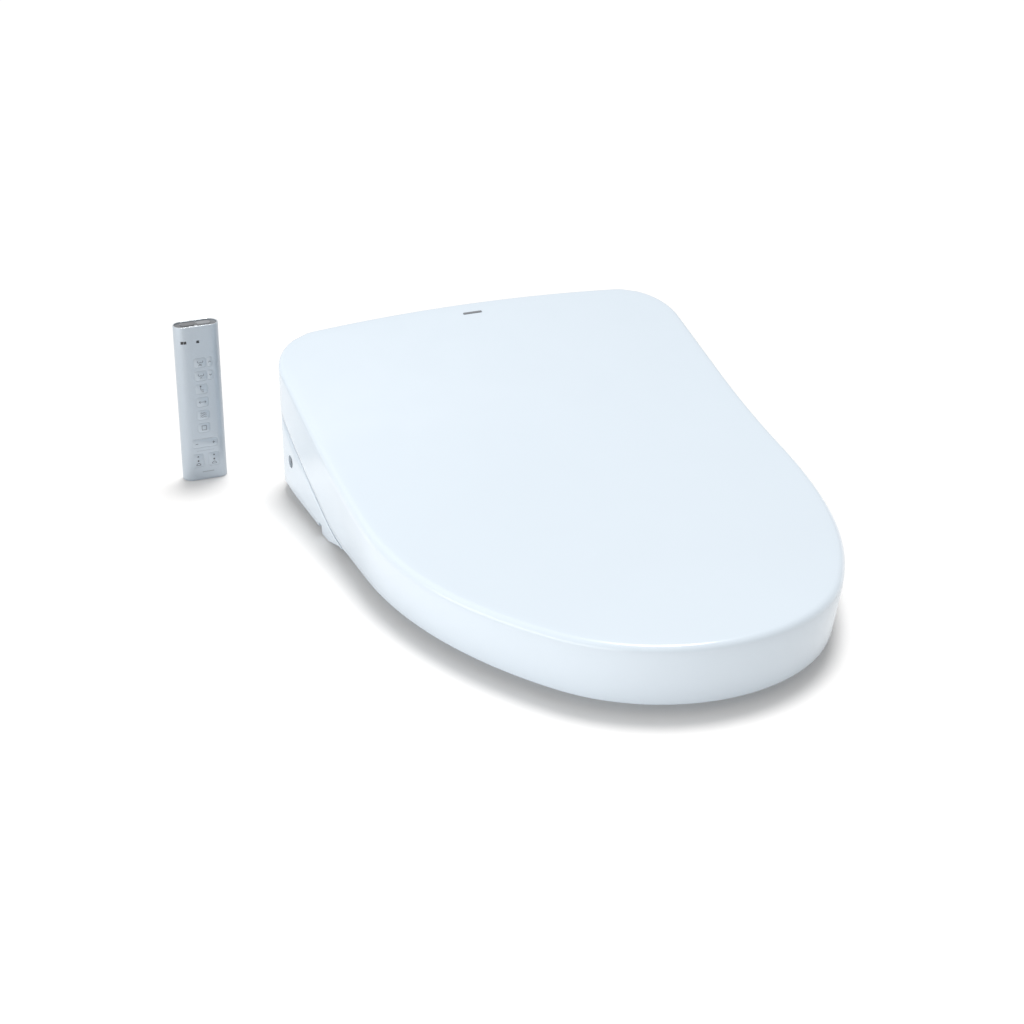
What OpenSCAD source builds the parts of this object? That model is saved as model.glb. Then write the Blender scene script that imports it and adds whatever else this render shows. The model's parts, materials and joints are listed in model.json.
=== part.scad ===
// Electric bidet seat with its handset. Millimetres, +Z up, the front of the seat towards -Y.
// The origin is midway between the two mounting bolts, on the plane that rests on the bowl rim.

/* [Seat and lid] */
// Length from the nose of the lid to its rear edge
seat_len = 531; // [525:1:540]
// Width of the lid
seat_w = 382; // [379:1:386]
// Height of the lid's rim at the rear
rear_h = 132.5; // [131:0.5:134]
// Height of the lid's rim at the front
front_h = 55.5; // [55:0.5:57]
// Radius of the lid's rim edge
rim_r = 5.6; // [4:0.2:6.5]
// Wall of the lid
lid_wall = 4; // [3:0.25:4.5]
// Rise of the lid's top across its width
crown = 4.8; // [4:0.2:6]

/* [Mounting] */
// Distance between the mounting bolts
bolt_pitch = 140; // [136:1:144]
// Distance from the bolts to the lid's rear edge
bolt_setback = 61; // [60:0.5:62]
// Radius of each bolt hole
bolt_hole_r = 4.5; // [4:0.1:5]

/* [Spray wand] */
// Slope of the wand below horizontal
wand_tilt = 24; // [22:1:26]
// Module of the wand's rack and pinion
rack_module = 1; // [0.9:0.05:1.1]

/* [Handset] */
// Width of the handset
remote_w = 40; // [38:0.5:41]
// Depth of the handset
remote_d = 17; // [16:0.5:18]
// Height of the handset
remote_h = 146; // [144:1:149]

/* [Hidden] */

white = [0.93, 0.96, 0.98];
grey = [0.45, 0.47, 0.50];
dark = [0.16, 0.17, 0.18];
silver = [0.70, 0.73, 0.76];
eps = 0.01;

// ---- Plan outline: a rear arc, two corners, straight sides, shoulder arcs and a nose arc, all tangent.
half_w = seat_w / 2;
rear_y = bolt_setback;
nose_y = rear_y - seat_len;
rear_r = 2500;
corner_r = 48;
nose_r = 147.5;
nose_half = 54.4;                       // half angle of the nose arc
corner_x = half_w - corner_r;
corner_y = rear_y - rear_r + sqrt(pow(rear_r - corner_r, 2) - pow(corner_x, 2));
rear_half = atan(corner_x / (corner_y - rear_y + rear_r));
shoulder_r = (half_w - nose_r * sin(nose_half)) / (1 - sin(nose_half));
shoulder_y = nose_y + nose_r + (shoulder_r - nose_r) * cos(nose_half);

// ---- Side profile of the rim: level at the front, then a bend and a straight ramp up to the rear.
flat_y = rear_y - 384.5;
bend = 250;                             // length of the bend
rise = rear_h - front_h;
run = rear_y - flat_y;
// Tangent of half the ramp's slope, by Newton's method.
function half_slope(t, n) = n == 0 ? t : let (k = 1 - t * t,
    miss = bend * t + (run - bend) * 2 * t / k - rise, rate = bend + (run - bend) * 2 * (1 + t * t) / (k * k))
    half_slope(t - miss / rate, n - 1);
ramp = 2 * atan(half_slope(rise / (2 * run - bend), 6));
bend_r = bend / sin(ramp);
function slope_at(y) = asin(min(bend, max(0, y - flat_y)) / bend_r);
function rim_z(y) = let (t = max(0, y - flat_y), b = min(t, bend))
    front_h + bend_r - sqrt(pow(bend_r, 2) - pow(b, 2)) + (t - b) * tan(ramp);
function top_z(x, y) = rim_z(y) + crown * (1 - pow(x / half_w, 2));

// ---- Hinge line shared by the seat and the lid.
hinge_y = 34;
hinge_z = 95;

// ---- Split line between the lid's skirt and the housing's side, as heights along y.
skirt_z = 9;                            // lowest edge of the skirt
case_z = 5;                             // lower edge of the housing's side, at its front
rear_low = 11.5;                        // and at its rear
ear_y = -125;                           // front tip of the housing's side
split = [[ear_y, 9.5], [-110, 12.5], [-97, 17.5], [-78, 27.1], [-55, 38.9], [-39, 47.2], [-19, 57.2],
    [6.5, 70], [22, 77.4], [33.5, 83], [35.5, 97], [42, 107.5], [50, 116.3], [rear_y, 118]];
function split_z(y) = y < ear_y ? 9.5 + 0.45 * (y - ear_y) : lookup(y, split);
function lid_edge_z(y) = max(skirt_z, split_z(y) + 1.2);
function case_edge_z(y) = y < 33.4 ? split_z(y) - 1.2 : 80;
// The lower edge of the housing's side, with a foot in front of the finger notch.
foot = [[ear_y, 7.4], [-118, 7], [-93, 0.6], [-79, 0.6], [-78.9, case_z], [9, rear_low], [rear_y, rear_low]];
function case_foot_z(y) = lookup(y, foot);

// The outer faces lean in towards the bottom by this much, least at the rear.
draft = 6;
function lean_share(y) = min(1, max(0.04, 1 - 0.0075 * (y + 140)));
function lean(y, z) = draft * lean_share(y) * max(0, rim_z(y) - rim_r - z) / (rim_z(y) - rim_r - skirt_z);

// ---- Small helpers.
function arc(cx, cy, r, a0, a1, n) =
    [for (i = [0:n]) let (a = a0 + (a1 - a0) * i / n) [cx + r * cos(a), cy + r * sin(a)]];
function mirror_x(p) = [for (i = [len(p) - 1:-1:0]) [-p[i][0], p[i][1]]];
function inner(p) = [for (i = [1:len(p) - 2]) p[i]];
function rrect(w, h, r) = concat(arc(w / 2 - r, h / 2 - r, r, 0, 90, 4),
    arc(r - w / 2, h / 2 - r, r, 90, 180, 4), arc(r - w / 2, r - h / 2, r, 180, 270, 4),
    arc(w / 2 - r, r - h / 2, r, 270, 360, 4));
module rbox(size, r) { linear_extrude(size[2]) polygon(rrect(size[0], size[1], r)); }
module sides() { for (s = [-1, 1]) scale_x(s) children(); }
module scale_x(s) { if (s > 0) children(); else mirror([1, 0, 0]) children(); }
module along_x(x0, x1) { translate([x0, 0, 0]) rotate([90, 0, 90]) linear_extrude(x1 - x0) children(); }
module rod_x(x0, x1, y, z, r) {
    translate([x0, y, z]) rotate([0, 90, 0]) cylinder(h = x1 - x0, r = r, $fn = 48);
}
module rod_y(y0, y1, x, z, r) {
    translate([x, y1, z]) rotate([90, 0, 0]) cylinder(h = y1 - y0, r = r, $fn = 48);
}

// Angles of the corner arc at which the split line bends.
function corner_a(y) = asin((y - corner_y) / corner_r);
corner_angles = [90 - rear_half, 76, corner_a(50), corner_a(42), corner_a(35.5), corner_a(33.5), 24, 12, 0];
side_ys = [-19, -39, -55, -78, -97, -110, -125, -139];

// Right half of the outline, from the rear's centre to the nose, moved inwards by d.
function half_outline(d) = concat(
    arc(0, rear_y - rear_r, rear_r - d, 90, 90 - rear_half, 4),
    [for (i = [1:len(corner_angles) - 1]) let (a = corner_angles[i], r = corner_r - d)
        [corner_x + r * cos(a), corner_y + r * sin(a)]],
    [for (y = side_ys) [half_w - d, y]],
    arc(half_w - shoulder_r, shoulder_y, shoulder_r - d, 0, nose_half - 90, 7),
    inner(concat(arc(0, nose_y + nose_r, nose_r - d, nose_half - 90, -90, 7), [[0, 0]])));
function outline(d) = let (h = half_outline(d)) concat(h, inner(mirror_x(h)));

// A closed body from rings of equal length, with a pole point at each end.
function ring_faces(n, m) = [for (j = [0:m - 2]) for (i = [0:n - 1]) let (k = (i + 1) % n, a = 1 + j * n)
    each [[a + i, a + n + i, a + n + k], [a + i, a + n + k, a + k]]];
module poled(rings, top, bottom) {
    n = len(rings[0]);
    m = len(rings);
    polyhedron(points = concat([top], [for (r = rings) each r], [bottom]), faces = concat(
        [for (i = [0:n - 1]) [0, 1 + i, 1 + (i + 1) % n]],
        ring_faces(n, m),
        [for (i = [0:n - 1]) [1 + n * m, n * (m - 1) + 1 + (i + 1) % n, n * (m - 1) + 1 + i]]));
}
// A closed body from sections that follow one another round a loop.
module looped(sections) {
    n = len(sections[0]);
    m = len(sections);
    polyhedron(points = [for (s = sections) each s], faces = [for (j = [0:m - 1]) for (i = [0:n - 1])
        let (k = (i + 1) % n, a = j * n, b = ((j + 1) % m) * n)
        each [[a + i, b + i, b + k], [a + i, b + k, a + k]]]);
}

// ---- Lid -------------------------------------------------------------------------------------
lid_centre = [0, -170];
module lid_shell() {
    rim = outline(rim_r);
    inside = outline(rim_r + 3);
    function shrunk(p, s) = [for (q = p) lid_centre + (q - lid_centre) * s];
    function skin(p, drop) = [for (q = p) [q[0], q[1], top_z(q[0], q[1]) - drop]];
    function rim_ring(a) = let (p = outline(rim_r * (1 - sin(a))))
        [for (q = p) [q[0], q[1], top_z(q[0], q[1]) - rim_r * (1 - cos(a))]];
    // A ring of the skirt at share t of the way down it, d inside its outer face.
    function skirt_ring(t, d) = let (o = outline(0)) [for (i = [0:len(o) - 1])
        let (y = o[i][1], high = rim_z(y) - rim_r, z = high + (lid_edge_z(y) - high) * t,
            p = outline(d + lean(y, z))[i]) [p[0], p[1], z]];
    color(white) poled(
        concat([for (s = [0.3, 0.6, 0.85]) skin(shrunk(rim, s), 0)],
            [for (a = [0, 35, 65]) rim_ring(a)],
            [skirt_ring(0, 0), skirt_ring(1, 0), skirt_ring(1, lid_wall), skirt_ring(0.1, lid_wall)],
            [for (s = [1, 0.85, 0.6, 0.3]) skin(shrunk(inside, s), lid_wall)]),
        [0, lid_centre[1], top_z(0, lid_centre[1])],
        [0, lid_centre[1], top_z(0, lid_centre[1]) - lid_wall]);
}

// Underside of the lid above a point, and the top of the seat and deck below it.
function lid_under(x, y) = top_z(x, y) - lid_wall;
seat_drop = 10;
function deck_z(y) = min(rim_z(y) - seat_drop, 117);

lug_x = [104, 124];
shaft_r = 5;
bore_play = 0.05;
module lid_hinge_lugs() {
    function reach(u) = lid_under(lug_x[1], hinge_y + u) - hinge_z;   // from the hinge line to the lid
    color(white) sides() translate([lug_x[0], hinge_y, hinge_z]) rotate([90, 0, 90])
        linear_extrude(lug_x[1] - lug_x[0]) difference() {
            union() {
                circle(r = 12, $fn = 64);
                polygon([[-11.6, 3], [-5, reach(-5)], [13, reach(13)], [11.6, 3]]);
            }
            circle(r = shaft_r + bore_play, $fn = 64);
        }
}

lid_bumper_at = [[92, -398], [150, -130]];
module lid_bumpers() {
    color(grey) sides() for (p = lid_bumper_at) let (under = lid_under(p[0], p[1]) - 0.25, a = slope_at(p[1]))
        translate([p[0], p[1], under]) rotate([a, 0, 0])
            translate([0, 0, -(under - deck_z(p[1]) - 0.7) * cos(a)])
                cylinder(h = (under - deck_z(p[1]) - 0.7) * cos(a), r = 6, $fn = 32);
}

module lid_badge() {
    y = 44;
    color(grey) translate([0, y, top_z(0, y) + 0.05]) rotate([slope_at(y), 0, 0])
        linear_extrude(0.4) polygon(rrect(18, 2.4, 1.15));
}

// ---- Seat ------------------------------------------------------------------------------------
seat_gap = 10.6;                        // from the lid's outline to the seat's outer wall
seat_rear_y = -80.5;
seat_corner = 12;
opening_c = [0, -262];
opening = [106, 137];
function seat_half(d) = concat(
    [for (x = [0, 35, 70, 105, 128, 152]) [x, seat_rear_y - d]],
    arc(half_w - seat_gap - seat_corner, seat_rear_y - seat_corner, seat_corner - d, 90, 0, 4),
    [for (y = [-97, -110, -125, -139, -160]) [half_w - seat_gap - d, y]],
    arc(half_w - shoulder_r, shoulder_y, shoulder_r - seat_gap - d, 0, nose_half - 90, 7),
    inner(concat(arc(0, nose_y + nose_r, nose_r - seat_gap - d, nose_half - 90, -90, 6), [[0, 0]])));
function seat_loop(d) = let (h = seat_half(d)) concat(h, inner(mirror_x(h)));
// The point of the opening's edge that faces a point of the seat's outer wall.
function facing(p, d) = let (v = p - opening_c, a = atan2(v[1] / opening[1], v[0] / opening[0]))
    opening_c + [(opening[0] + d) * cos(a), (opening[1] + d) * sin(a)];
// The seat's underside: over the wand and the dryer it rises, and by the arms it follows the split line.
relief = [[-170, skirt_z], [-126, 36], [seat_rear_y, 42]];
function seat_low(x, y) = max(skirt_z, split_z(y) + 3, y < -170 || abs(x) > 140 ? 0 : lookup(y, relief));
seat_wall = 3;

// One section of a seat shell: [distance in from the outer wall, in from the opening, share, height].
function seat_section(i, steps) = [for (s = steps)
    let (p = seat_loop(s[0])[i], q = facing(seat_loop(0)[i], s[1]), m = p + (q - p) * s[2],
        y = seat_loop(0)[i][1], low = seat_low(m[0], m[1]), high = deck_z(m[1]))
    [m[0], m[1], s[3] < 0 ? high + s[3] + 0.001 : low + s[3]]];
module seat_top_shell() {
    steps = [[0, 0, 0, 3.2], [0, 0, 0, -9], [2.5, 0, 0, -3], [8, 0, 0, -0.2], [0, 0, 0.35, -0.2],
        [0, 0, 0.6, -1.2], [0, 8, 1, -5], [0, 2, 1, -10], [0, 0, 1, -16], [0, 0, 1, 3.2],
        [0, 3, 1, 3.2], [0, 3, 1, -17], [0, 10, 1, -8.5], [0, 0, 0.6, -4.2], [0, 0, 0.35, -3.2],
        [9, 0, 0, -3.2], [3, 0, 0, -10], [3, 0, 0, 3.2]];
    color(white) looped([for (i = [0:len(seat_loop(0)) - 1]) seat_section(i, steps)]);
}
module seat_base_shell() {
    steps = [[0.3, 0, 0, 0], [0.3, 0, 0, 2.7], [0, 0.3, 1, 2.7], [0, 0.3, 1, 0]];
    color(white) looped([for (i = [0:len(seat_loop(0)) - 1]) seat_section(i, steps)]);
}
module seat_heater() {
    steps = [[16, 0, 0, -4.4], [0, 0, 0.32, -4.4], [0, 0, 0.32, -5.0], [16, 0, 0, -5.0]];
    color([0.72, 0.45, 0.25]) looped([for (i = [0:len(seat_loop(0)) - 1]) seat_section(i, steps)]);
}
seat_bumper_at = [[60, -404], [148, -215]];
module seat_bumpers() {
    color(grey) sides() for (p = seat_bumper_at)
        translate([p[0], p[1], 0]) rbox([34, 14, skirt_z], 6);
}

arm_x = [130, 150];
arm_z = 24;                             // depth of an arm
module seat_arms() {
    ys = [for (y = [seat_rear_y : 19 : 14.6]) y];
    top = concat([for (y = ys) [y, deck_z(y) - 0.4]], [[hinge_y, hinge_z + 14]]);
    low = concat([[hinge_y, hinge_z - 14]], [for (i = [len(ys) - 1:-1:0]) [ys[i], deck_z(ys[i]) - arm_z]]);
    color(white) sides() along_x(arm_x[0], arm_x[1]) difference() {
        union() {
            polygon(concat(top, low));
            translate([hinge_y, hinge_z]) circle(r = 14, $fn = 64);
        }
        translate([hinge_y, hinge_z]) circle(r = shaft_r + bore_play, $fn = 64);
    }
}

// ---- Housing ---------------------------------------------------------------------------------
case_rear_y = 50;
case_front_y = -75;
floor_z = [12, 15];
wall = 3;
bay_x = [102.5, 152];
bay_y = 9;
bay_floor = 70;
slot_x = [128.5, 151.5];
slot_y = [seat_rear_y, bay_y];

// The housing's side wall, leaning like the lid's skirt.
function wall_ys(d) = concat([ear_y + 0.5, -118, -110, -97, -93, -79, -78.8, -55, -39, -19],
    [for (a = [0, 12, 24, corner_a(33), corner_a(34), corner_a(42), corner_a(case_rear_y)])
        corner_y + corner_r * sin(a)]);
function wall_x(y, d) = y < corner_y ? half_w - d
    : corner_x + sqrt(max(0, pow(corner_r - d, 2) - pow(y - corner_y, 2)));
module side_wall() {
    ys = wall_ys(0);
    last = len(ys) - 1;
    function section(y) = let (lo = case_foot_z(y), hi = case_edge_z(y),
        k = y < case_rear_y - 1 ? wall : wall + 1) [
        [wall_x(y, lean(y, lo) + 0.5), y, lo], [wall_x(y, lean(y, hi) + 0.5), y, hi],
        [wall_x(y, lean(y, hi) + 0.5) - k, y, hi], [wall_x(y, lean(y, lo) + 0.5) - k, y, lo]];
    sections = [for (y = ys) section(y)];
    polyhedron(points = [for (s = sections) each s], faces = concat([[2, 1, 0], [3, 2, 0]],
        [for (j = [0:last - 1]) for (i = [0:3]) let (k = (i + 1) % 4, a = 4 * j, b = 4 * j + 4)
            each [[b + k, b + i, a + i], [a + k, b + k, a + i]]],
        [[4 * last, 4 * last + 1, 4 * last + 2], [4 * last, 4 * last + 2, 4 * last + 3]]));
}
button_at = [-5.6, 38.5];
button_r = 5.4;
cartridge = [[-52, -16], [17, 33]];     // y and z of the filter cartridge's door
inlet_at = [16, 34];
rear_x = wall_x(case_rear_y, 0.5) - 4;
module lower_case() {
    color(white) {
        difference() {
            union() {
                sides() side_wall();
                // floor
                translate([0, 0, floor_z[0]]) linear_extrude(floor_z[1] - floor_z[0])
                    polygon(concat([for (y = wall_ys(0)) if (y > case_front_y) [wall_x(y, 6), min(y, 48.5)]],
                        mirror_x([for (y = wall_ys(0)) if (y > case_front_y) [wall_x(y, 6), min(y, 48.5)]]),
                        [[-wall_x(-60, 6), case_front_y + 0.2], [wall_x(-60, 6), case_front_y + 0.2]]));
                // rear wall
                translate([-rear_x - 2, case_rear_y - wall, rear_low])
                    cube([2 * rear_x + 4, wall, 100.5]);
            }
            // hinge bays open to the rear
            sides() translate([bay_x[0], case_rear_y - 8, bay_floor]) cube([bay_x[1] - bay_x[0], 20, 60]);
            // release button, seen on the left side
            rod_x(-half_w - 5, -half_w + 15, button_at[0], button_at[1], button_r + 0.3);
            // filter cartridge's door on the right side
            translate([half_w - 20, cartridge[0][0] - 0.4, cartridge[1][0] - 0.4])
                cube([40, cartridge[0][1] - cartridge[0][0] + 0.8, cartridge[1][1] - cartridge[1][0] + 0.8]);
            // water inlet and cord gland on the right side
            rod_x(half_w - 30, half_w + 5, inlet_at[0], inlet_at[1], 16);
            rod_y(case_rear_y - 10, case_rear_y + 5, 120, 30, 7.5);
            rod_y(case_rear_y - 10, case_rear_y + 5, 80, 30, 9.3);
            // finger notch in each side's lower edge
            sides() translate([half_w - 20, -78.7, 0]) cube([30, 7, 9.5]);
        }
    }
}

function deck_half_x(y) = wall_x(y, 9.5);
module top_cover() {
    ys = [case_front_y + 0.3, -50, -25, 0, 15, 30, 42, case_rear_y - 3.3];
    // Side view of the cover between the deck and a skin below it.
    module skin2d(thick) {
        polygon(concat([for (y = ys) [y, deck_z(y)]],
            [for (i = [len(ys) - 1:-1:0]) [ys[i], deck_z(ys[i]) - thick]]));
    }
    module curtain(x0, x1, depth) { along_x(x0, x1) skin2d(depth); }
    // The outer curtains go down behind the housing's sides, so that no gap shows with the lid up.
    function side_low(y) = min(deck_z(y) - 28, case_edge_z(y) - 6);
    module side_curtain() {
        along_x(deck_half_x(0) - 3, deck_half_x(0)) polygon(concat([for (y = ys) [y, deck_z(y)]],
            [for (i = [len(ys) - 1:-1:0]) [ys[i], side_low(ys[i])]]));
    }
    // Round the rear corners the curtain follows the lid's outline.
    corner_ys = [corner_y - 3, 15, 25, 32, 38, 43, case_rear_y - 3.3];
    module corner_curtain() {
        low = case_edge_z(40) - 6;
        for (i = [0:len(corner_ys) - 2]) let (a = corner_ys[i], b = corner_ys[i + 1])
            translate([0, 0, low]) linear_extrude(deck_z(a) - 1 - low) polygon([[deck_half_x(a) + 0.01, a],
                [deck_half_x(a) - 3.4, a], [deck_half_x(b) - 3.4, b + eps], [deck_half_x(b) + 0.01, b + eps]]);
    }
    // A well under each hinge bay, open to the rear.
    module well() {
        translate([bay_x[0] - 3, bay_y - 3, bay_floor - 3])
            cube([bay_x[1] - bay_x[0] + 5.5, case_rear_y - wall - 0.3 - bay_y + 3, 34]);
    }
    color(white) difference() {
        union() {
            along_x(-deck_half_x(0), deck_half_x(0)) skin2d(wall);
            // rear and side curtains
            translate([-deck_half_x(42) + 4, case_rear_y - 6.3, 108]) cube([2 * deck_half_x(42) - 8,
                wall, 7.5]);
            sides() {
                curtain(slot_x[0] - 3, slot_x[0], 32);
                curtain(slot_x[1], slot_x[1] + 3, 32);
                curtain(slot_x[0] - 3, slot_x[1] + 3, 32);
                curtain(bay_x[0] - 3, bay_x[0], 34);
                side_curtain();
                corner_curtain();
                well();
            }
        }
        // the corners follow the lid's
        sides() linear_extrude(200) polygon(concat(
            [for (y = [corner_y, 15, 25, 32, 38, 43, 47, 60]) [deck_half_x(y), y]],
            [[half_w + 30, 60], [half_w + 30, corner_y]]));
        sides() {
            // slot for a seat arm, and hinge bay
            along_x(slot_x[0], slot_x[1]) polygon(concat([for (y = [-90, -50, -25, 0, bay_y + 1]) [y,
                deck_z(y) - 29]],
                [[bay_y + 1, 140], [-90, 140]]));
            translate([bay_x[0], bay_y, bay_floor]) cube([slot_x[1] - bay_x[0], 80, 60]);
        }
        // holes for the hinge shafts
        rod_x(-160, 160, hinge_y, hinge_z, shaft_r + 0.2);
        // window for the lamp lens
        translate([0, -28, 0]) linear_extrude(200) polygon(rrect(60.6, 6.6, 3.2));
    }
}
module indicator_lens() {
    color([0.75, 0.82, 0.86]) translate([0, -28, deck_z(-28) - 2.2]) rotate([slope_at(-28), 0, 0])
        linear_extrude(2) polygon(rrect(59, 5.6, 2.7));
}

port_x = 17;                            // half width of the wand's port
port_z = [11, 46];
dryer_x = [58, 112];
dryer_z = [19, 43];
module front_panel() {
    color(white) difference() {
        translate([0, case_front_y, 0]) rotate([90, 0, 0]) linear_extrude(wall)
            polygon([[-179, 12], [179, 12], [181.3, 22], [181.3, 79.8], [154.6, 79.8], [154.6, 48],
                [125, 48], [125, 79.8], [-125, 79.8], [-125, 48], [-154.6, 48], [-154.6, 79.8],
                [-181.3, 79.8], [-181.3, 22], [-179, 12]]);
        translate([-port_x, case_front_y - 10, port_z[0]]) cube([2 * port_x, 20, port_z[1] - port_z[0]]);
        translate([dryer_x[0], case_front_y - 10, dryer_z[0]])
            cube([dryer_x[1] - dryer_x[0], 20, dryer_z[1] - dryer_z[0]]);
        // deodorizer intake slots
        for (i = [0:5]) translate([124 + 6 * i, case_front_y - 10, 17]) cube([3, 20, 10]);
        rod_y(case_front_y - 10, case_front_y + 5, -80, 62, 7.2);
    }
}
module sensor_lens() {
    color(dark) {
        rod_y(case_front_y - 3.6, case_front_y - 1, -80, 62, 7);
        rod_y(case_front_y - 1.2, case_front_y + 4, -80, 62, 5);
    }
}
module dryer_flap() {
    color(white) {
        translate([dryer_x[0] + 0.6, case_front_y - 2.6, dryer_z[0] + 0.8])
            cube([dryer_x[1] - dryer_x[0] - 1.2, 2, dryer_z[1] - dryer_z[0] - 2.6]);
        rod_x(dryer_x[0] + 0.6, dryer_x[1] - 0.6, case_front_y - 1.6, dryer_z[1] - 1.9, 1.5);
    }
}

// ---- Mounting plate and feet -----------------------------------------------------------------
module base_plate() {
    color(grey) difference() {
        union() {
            translate([0, -4, 0]) rbox([250, 84, 5], 10);
            // rails that the housing slides on
            sides() translate([104, -42, 5]) cube([8, 76, 5]);
        }
        sides() translate([bolt_pitch / 2, 0, -1]) cylinder(h = 8, r = 9, $fn = 64);
        for (x = [-24, 24]) translate([x, -4, -1]) rbox([30, 50, 8], 5);
    }
}
module bolt_bushings() {
    color(dark) sides() translate([bolt_pitch / 2, 0, 0]) difference() {
        cylinder(h = 5, r = 9, $fn = 64);
        translate([0, 0, -1]) cylinder(h = 8, r = bolt_hole_r, $fn = 64);
    }
}
module housing_feet() {
    color(grey) {
        sides() translate([170, -66, 0]) cylinder(h = floor_z[0], r = 6, $fn = 32);
        sides() translate([150, 30, 0]) cylinder(h = floor_z[0], r = 6, $fn = 32);
    }
}

// ---- Hinge hardware --------------------------------------------------------------------------
module hinge_shafts() {
    color(silver) sides() rod_x(bay_x[0] - 4, 158, hinge_y, hinge_z, shaft_r);
}
module damper(length) {
    difference() {
        union() {
            rod_x(98.5 - length, 98.5, hinge_y, hinge_z, 12);
            rod_x(94, 97, hinge_y, hinge_z, 12.8);
        }
        rod_x(98.5 - length + 10, 99, hinge_y, hinge_z, shaft_r - 1);
    }
}
module seat_damper() { color(grey) damper(42); }
module lid_damper() { color(grey) mirror([1, 0, 0]) damper(50); }

// ---- Spray wand ------------------------------------------------------------------------------
// Local frame of the wand: x across, y back along the wand, z square to it.
wand_at = [0, case_front_y + 3, 30];
module on_wand() { translate(wand_at) rotate([wand_tilt, 0, 0]) children(); }
wand_r = 7;
wand_len = 104;
rack_pitch = PI * rack_module;
teeth = 12;
pinion_r = rack_module * teeth / 2;
rack_x = 8.5;
rack_y = [12, 102];
tooth_half = rack_pitch / 4 - 0.22;     // half a tooth at the pitch line, less the backlash
flank = 0.3;                            // how much a tooth narrows from root to tip, per side
// Side view of the rack: y along it, z up to the tips; the pitch line is z = 0.
rack_n = floor((rack_y[1] - rack_y[0]) / rack_pitch);
module rack2d() {
    a = rack_module;
    polygon(concat([[0, -3.4]], [for (i = [0:rack_n - 1]) let (c = (i + 0.5) * rack_pitch) each [
        [c - tooth_half - flank, -1.2 * a], [c - tooth_half + flank, a * 0.85],
        [c + tooth_half - flank, a * 0.85], [c + tooth_half + flank, -1.2 * a]]], [[rack_n * rack_pitch,
            -3.4]]));
}
pinion_at = [rack_x, 26, 10.4 + pinion_r];
module spray_wand() {
    color(white) on_wand() {
        difference() {
            union() {
                translate([0, wand_len, 0]) rotate([90, 0, 0]) cylinder(h = wand_len - 16, r = wand_r,
                    $fn = 64);
                // rack along the wand's side
                translate([rack_x - 2.5, rack_y[0] + 6.5, 10.4]) rotate([90, 0, 90]) linear_extrude(5)
                    rack2d();
                translate([rack_x - 2.5 - 6, rack_y[0] + 6.5, 4]) cube([8.5, rack_n * rack_pitch, 3.01]);
            }
            // water ways
            for (x = [-2.6, 2.6]) translate([x, wand_len + 1, 0]) rotate([90, 0, 0]) cylinder(h = 80,
                r = 1.4, $fn = 24);
        }
    }
}
module wand_tip() {
    color([0.85, 0.9, 0.94]) on_wand() difference() {
        union() {
            translate([0, 15.9, 0]) rotate([90, 0, 0]) cylinder(h = 13.7, r = wand_r - 0.3, $fn = 64);
            translate([-5, 4, 2]) cube([10, 10, 5.2]);
        }
        for (p = [[-2.4, 7], [2.4, 7], [0, 10.6]]) translate([p[0], p[1], 3]) cylinder(h = 8, r = 0.7,
            $fn = 24);
    }
}
module wand_shield() {
    color(white) on_wand() difference() {
        translate([0, 2.1, 0.5]) rotate([90, 0, 0]) linear_extrude(2.6) polygon(rrect(30, 19, 6));
        translate([0, 1.2, 0]) rotate([-90, 0, 0]) cylinder(h = 2, r = 5, $fn = 48);
    }
}
module nozzle_guide() {
    color(silver) on_wand() {
        difference() {
            translate([-15, 20, -13]) cube([34, 86, 17.5]);
            translate([0, 110, 0]) rotate([90, 0, 0]) cylinder(h = 95, r = wand_r + 0.5, $fn = 64);
            translate([-wand_r - 0.5, 15, 0]) cube([2 * wand_r + 1, 95, 20]);
            translate([0, 15, 2]) cube([13, 95, 20]);
        }
    }
}
module nozzle_motor() {
    color(grey) on_wand() translate([pinion_at[0] + 4.5, pinion_at[1], pinion_at[2]]) rotate([0, 90, 0]) {
        cylinder(h = 16, r = 11, $fn = 64);
        translate([0, 0, -6.5]) cylinder(h = 7, r = 1.5, $fn = 32);
    }
}
// Pinion with straight-sided teeth; a gap faces the rack's nearest tooth at rest.
module pinion2d(turn) {
    root = pinion_r - 1.2 * rack_module;
    tip = pinion_r + 0.85 * rack_module;
    half = 90 * 4 * tooth_half / rack_pitch / teeth;
    step = 360 / teeth;
    polygon([for (i = [0:teeth - 1]) let (c = turn + i * step) each [
        root * [cos(c - half * 1.5), sin(c - half * 1.5)], pinion_r * [cos(c - half), sin(c - half)],
        tip * [cos(c - half * 0.55), sin(c - half * 0.55)], tip * [cos(c + half * 0.55),
            sin(c + half * 0.55)],
        pinion_r * [cos(c + half), sin(c + half)], root * [cos(c + half * 1.5), sin(c + half * 1.5)]]]);
}
// Distance along the rack from its nearest tooth's centre to the pinion's axis.
rack_phase = (pinion_at[1] - rack_y[0] - 6.5) / rack_pitch - 0.5;
pinion_turn = 360 / teeth * (0.5 - rack_phase + floor(rack_phase));
module drive_pinion() {
    color(white) on_wand() translate([pinion_at[0] - 2, pinion_at[1], pinion_at[2]]) rotate([90, 0, 90])
        difference() {
            linear_extrude(4) pinion2d(270 + pinion_turn);
            translate([0, 0, -1]) cylinder(h = 6, r = 1.55, $fn = 32);
        }
}

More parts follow.
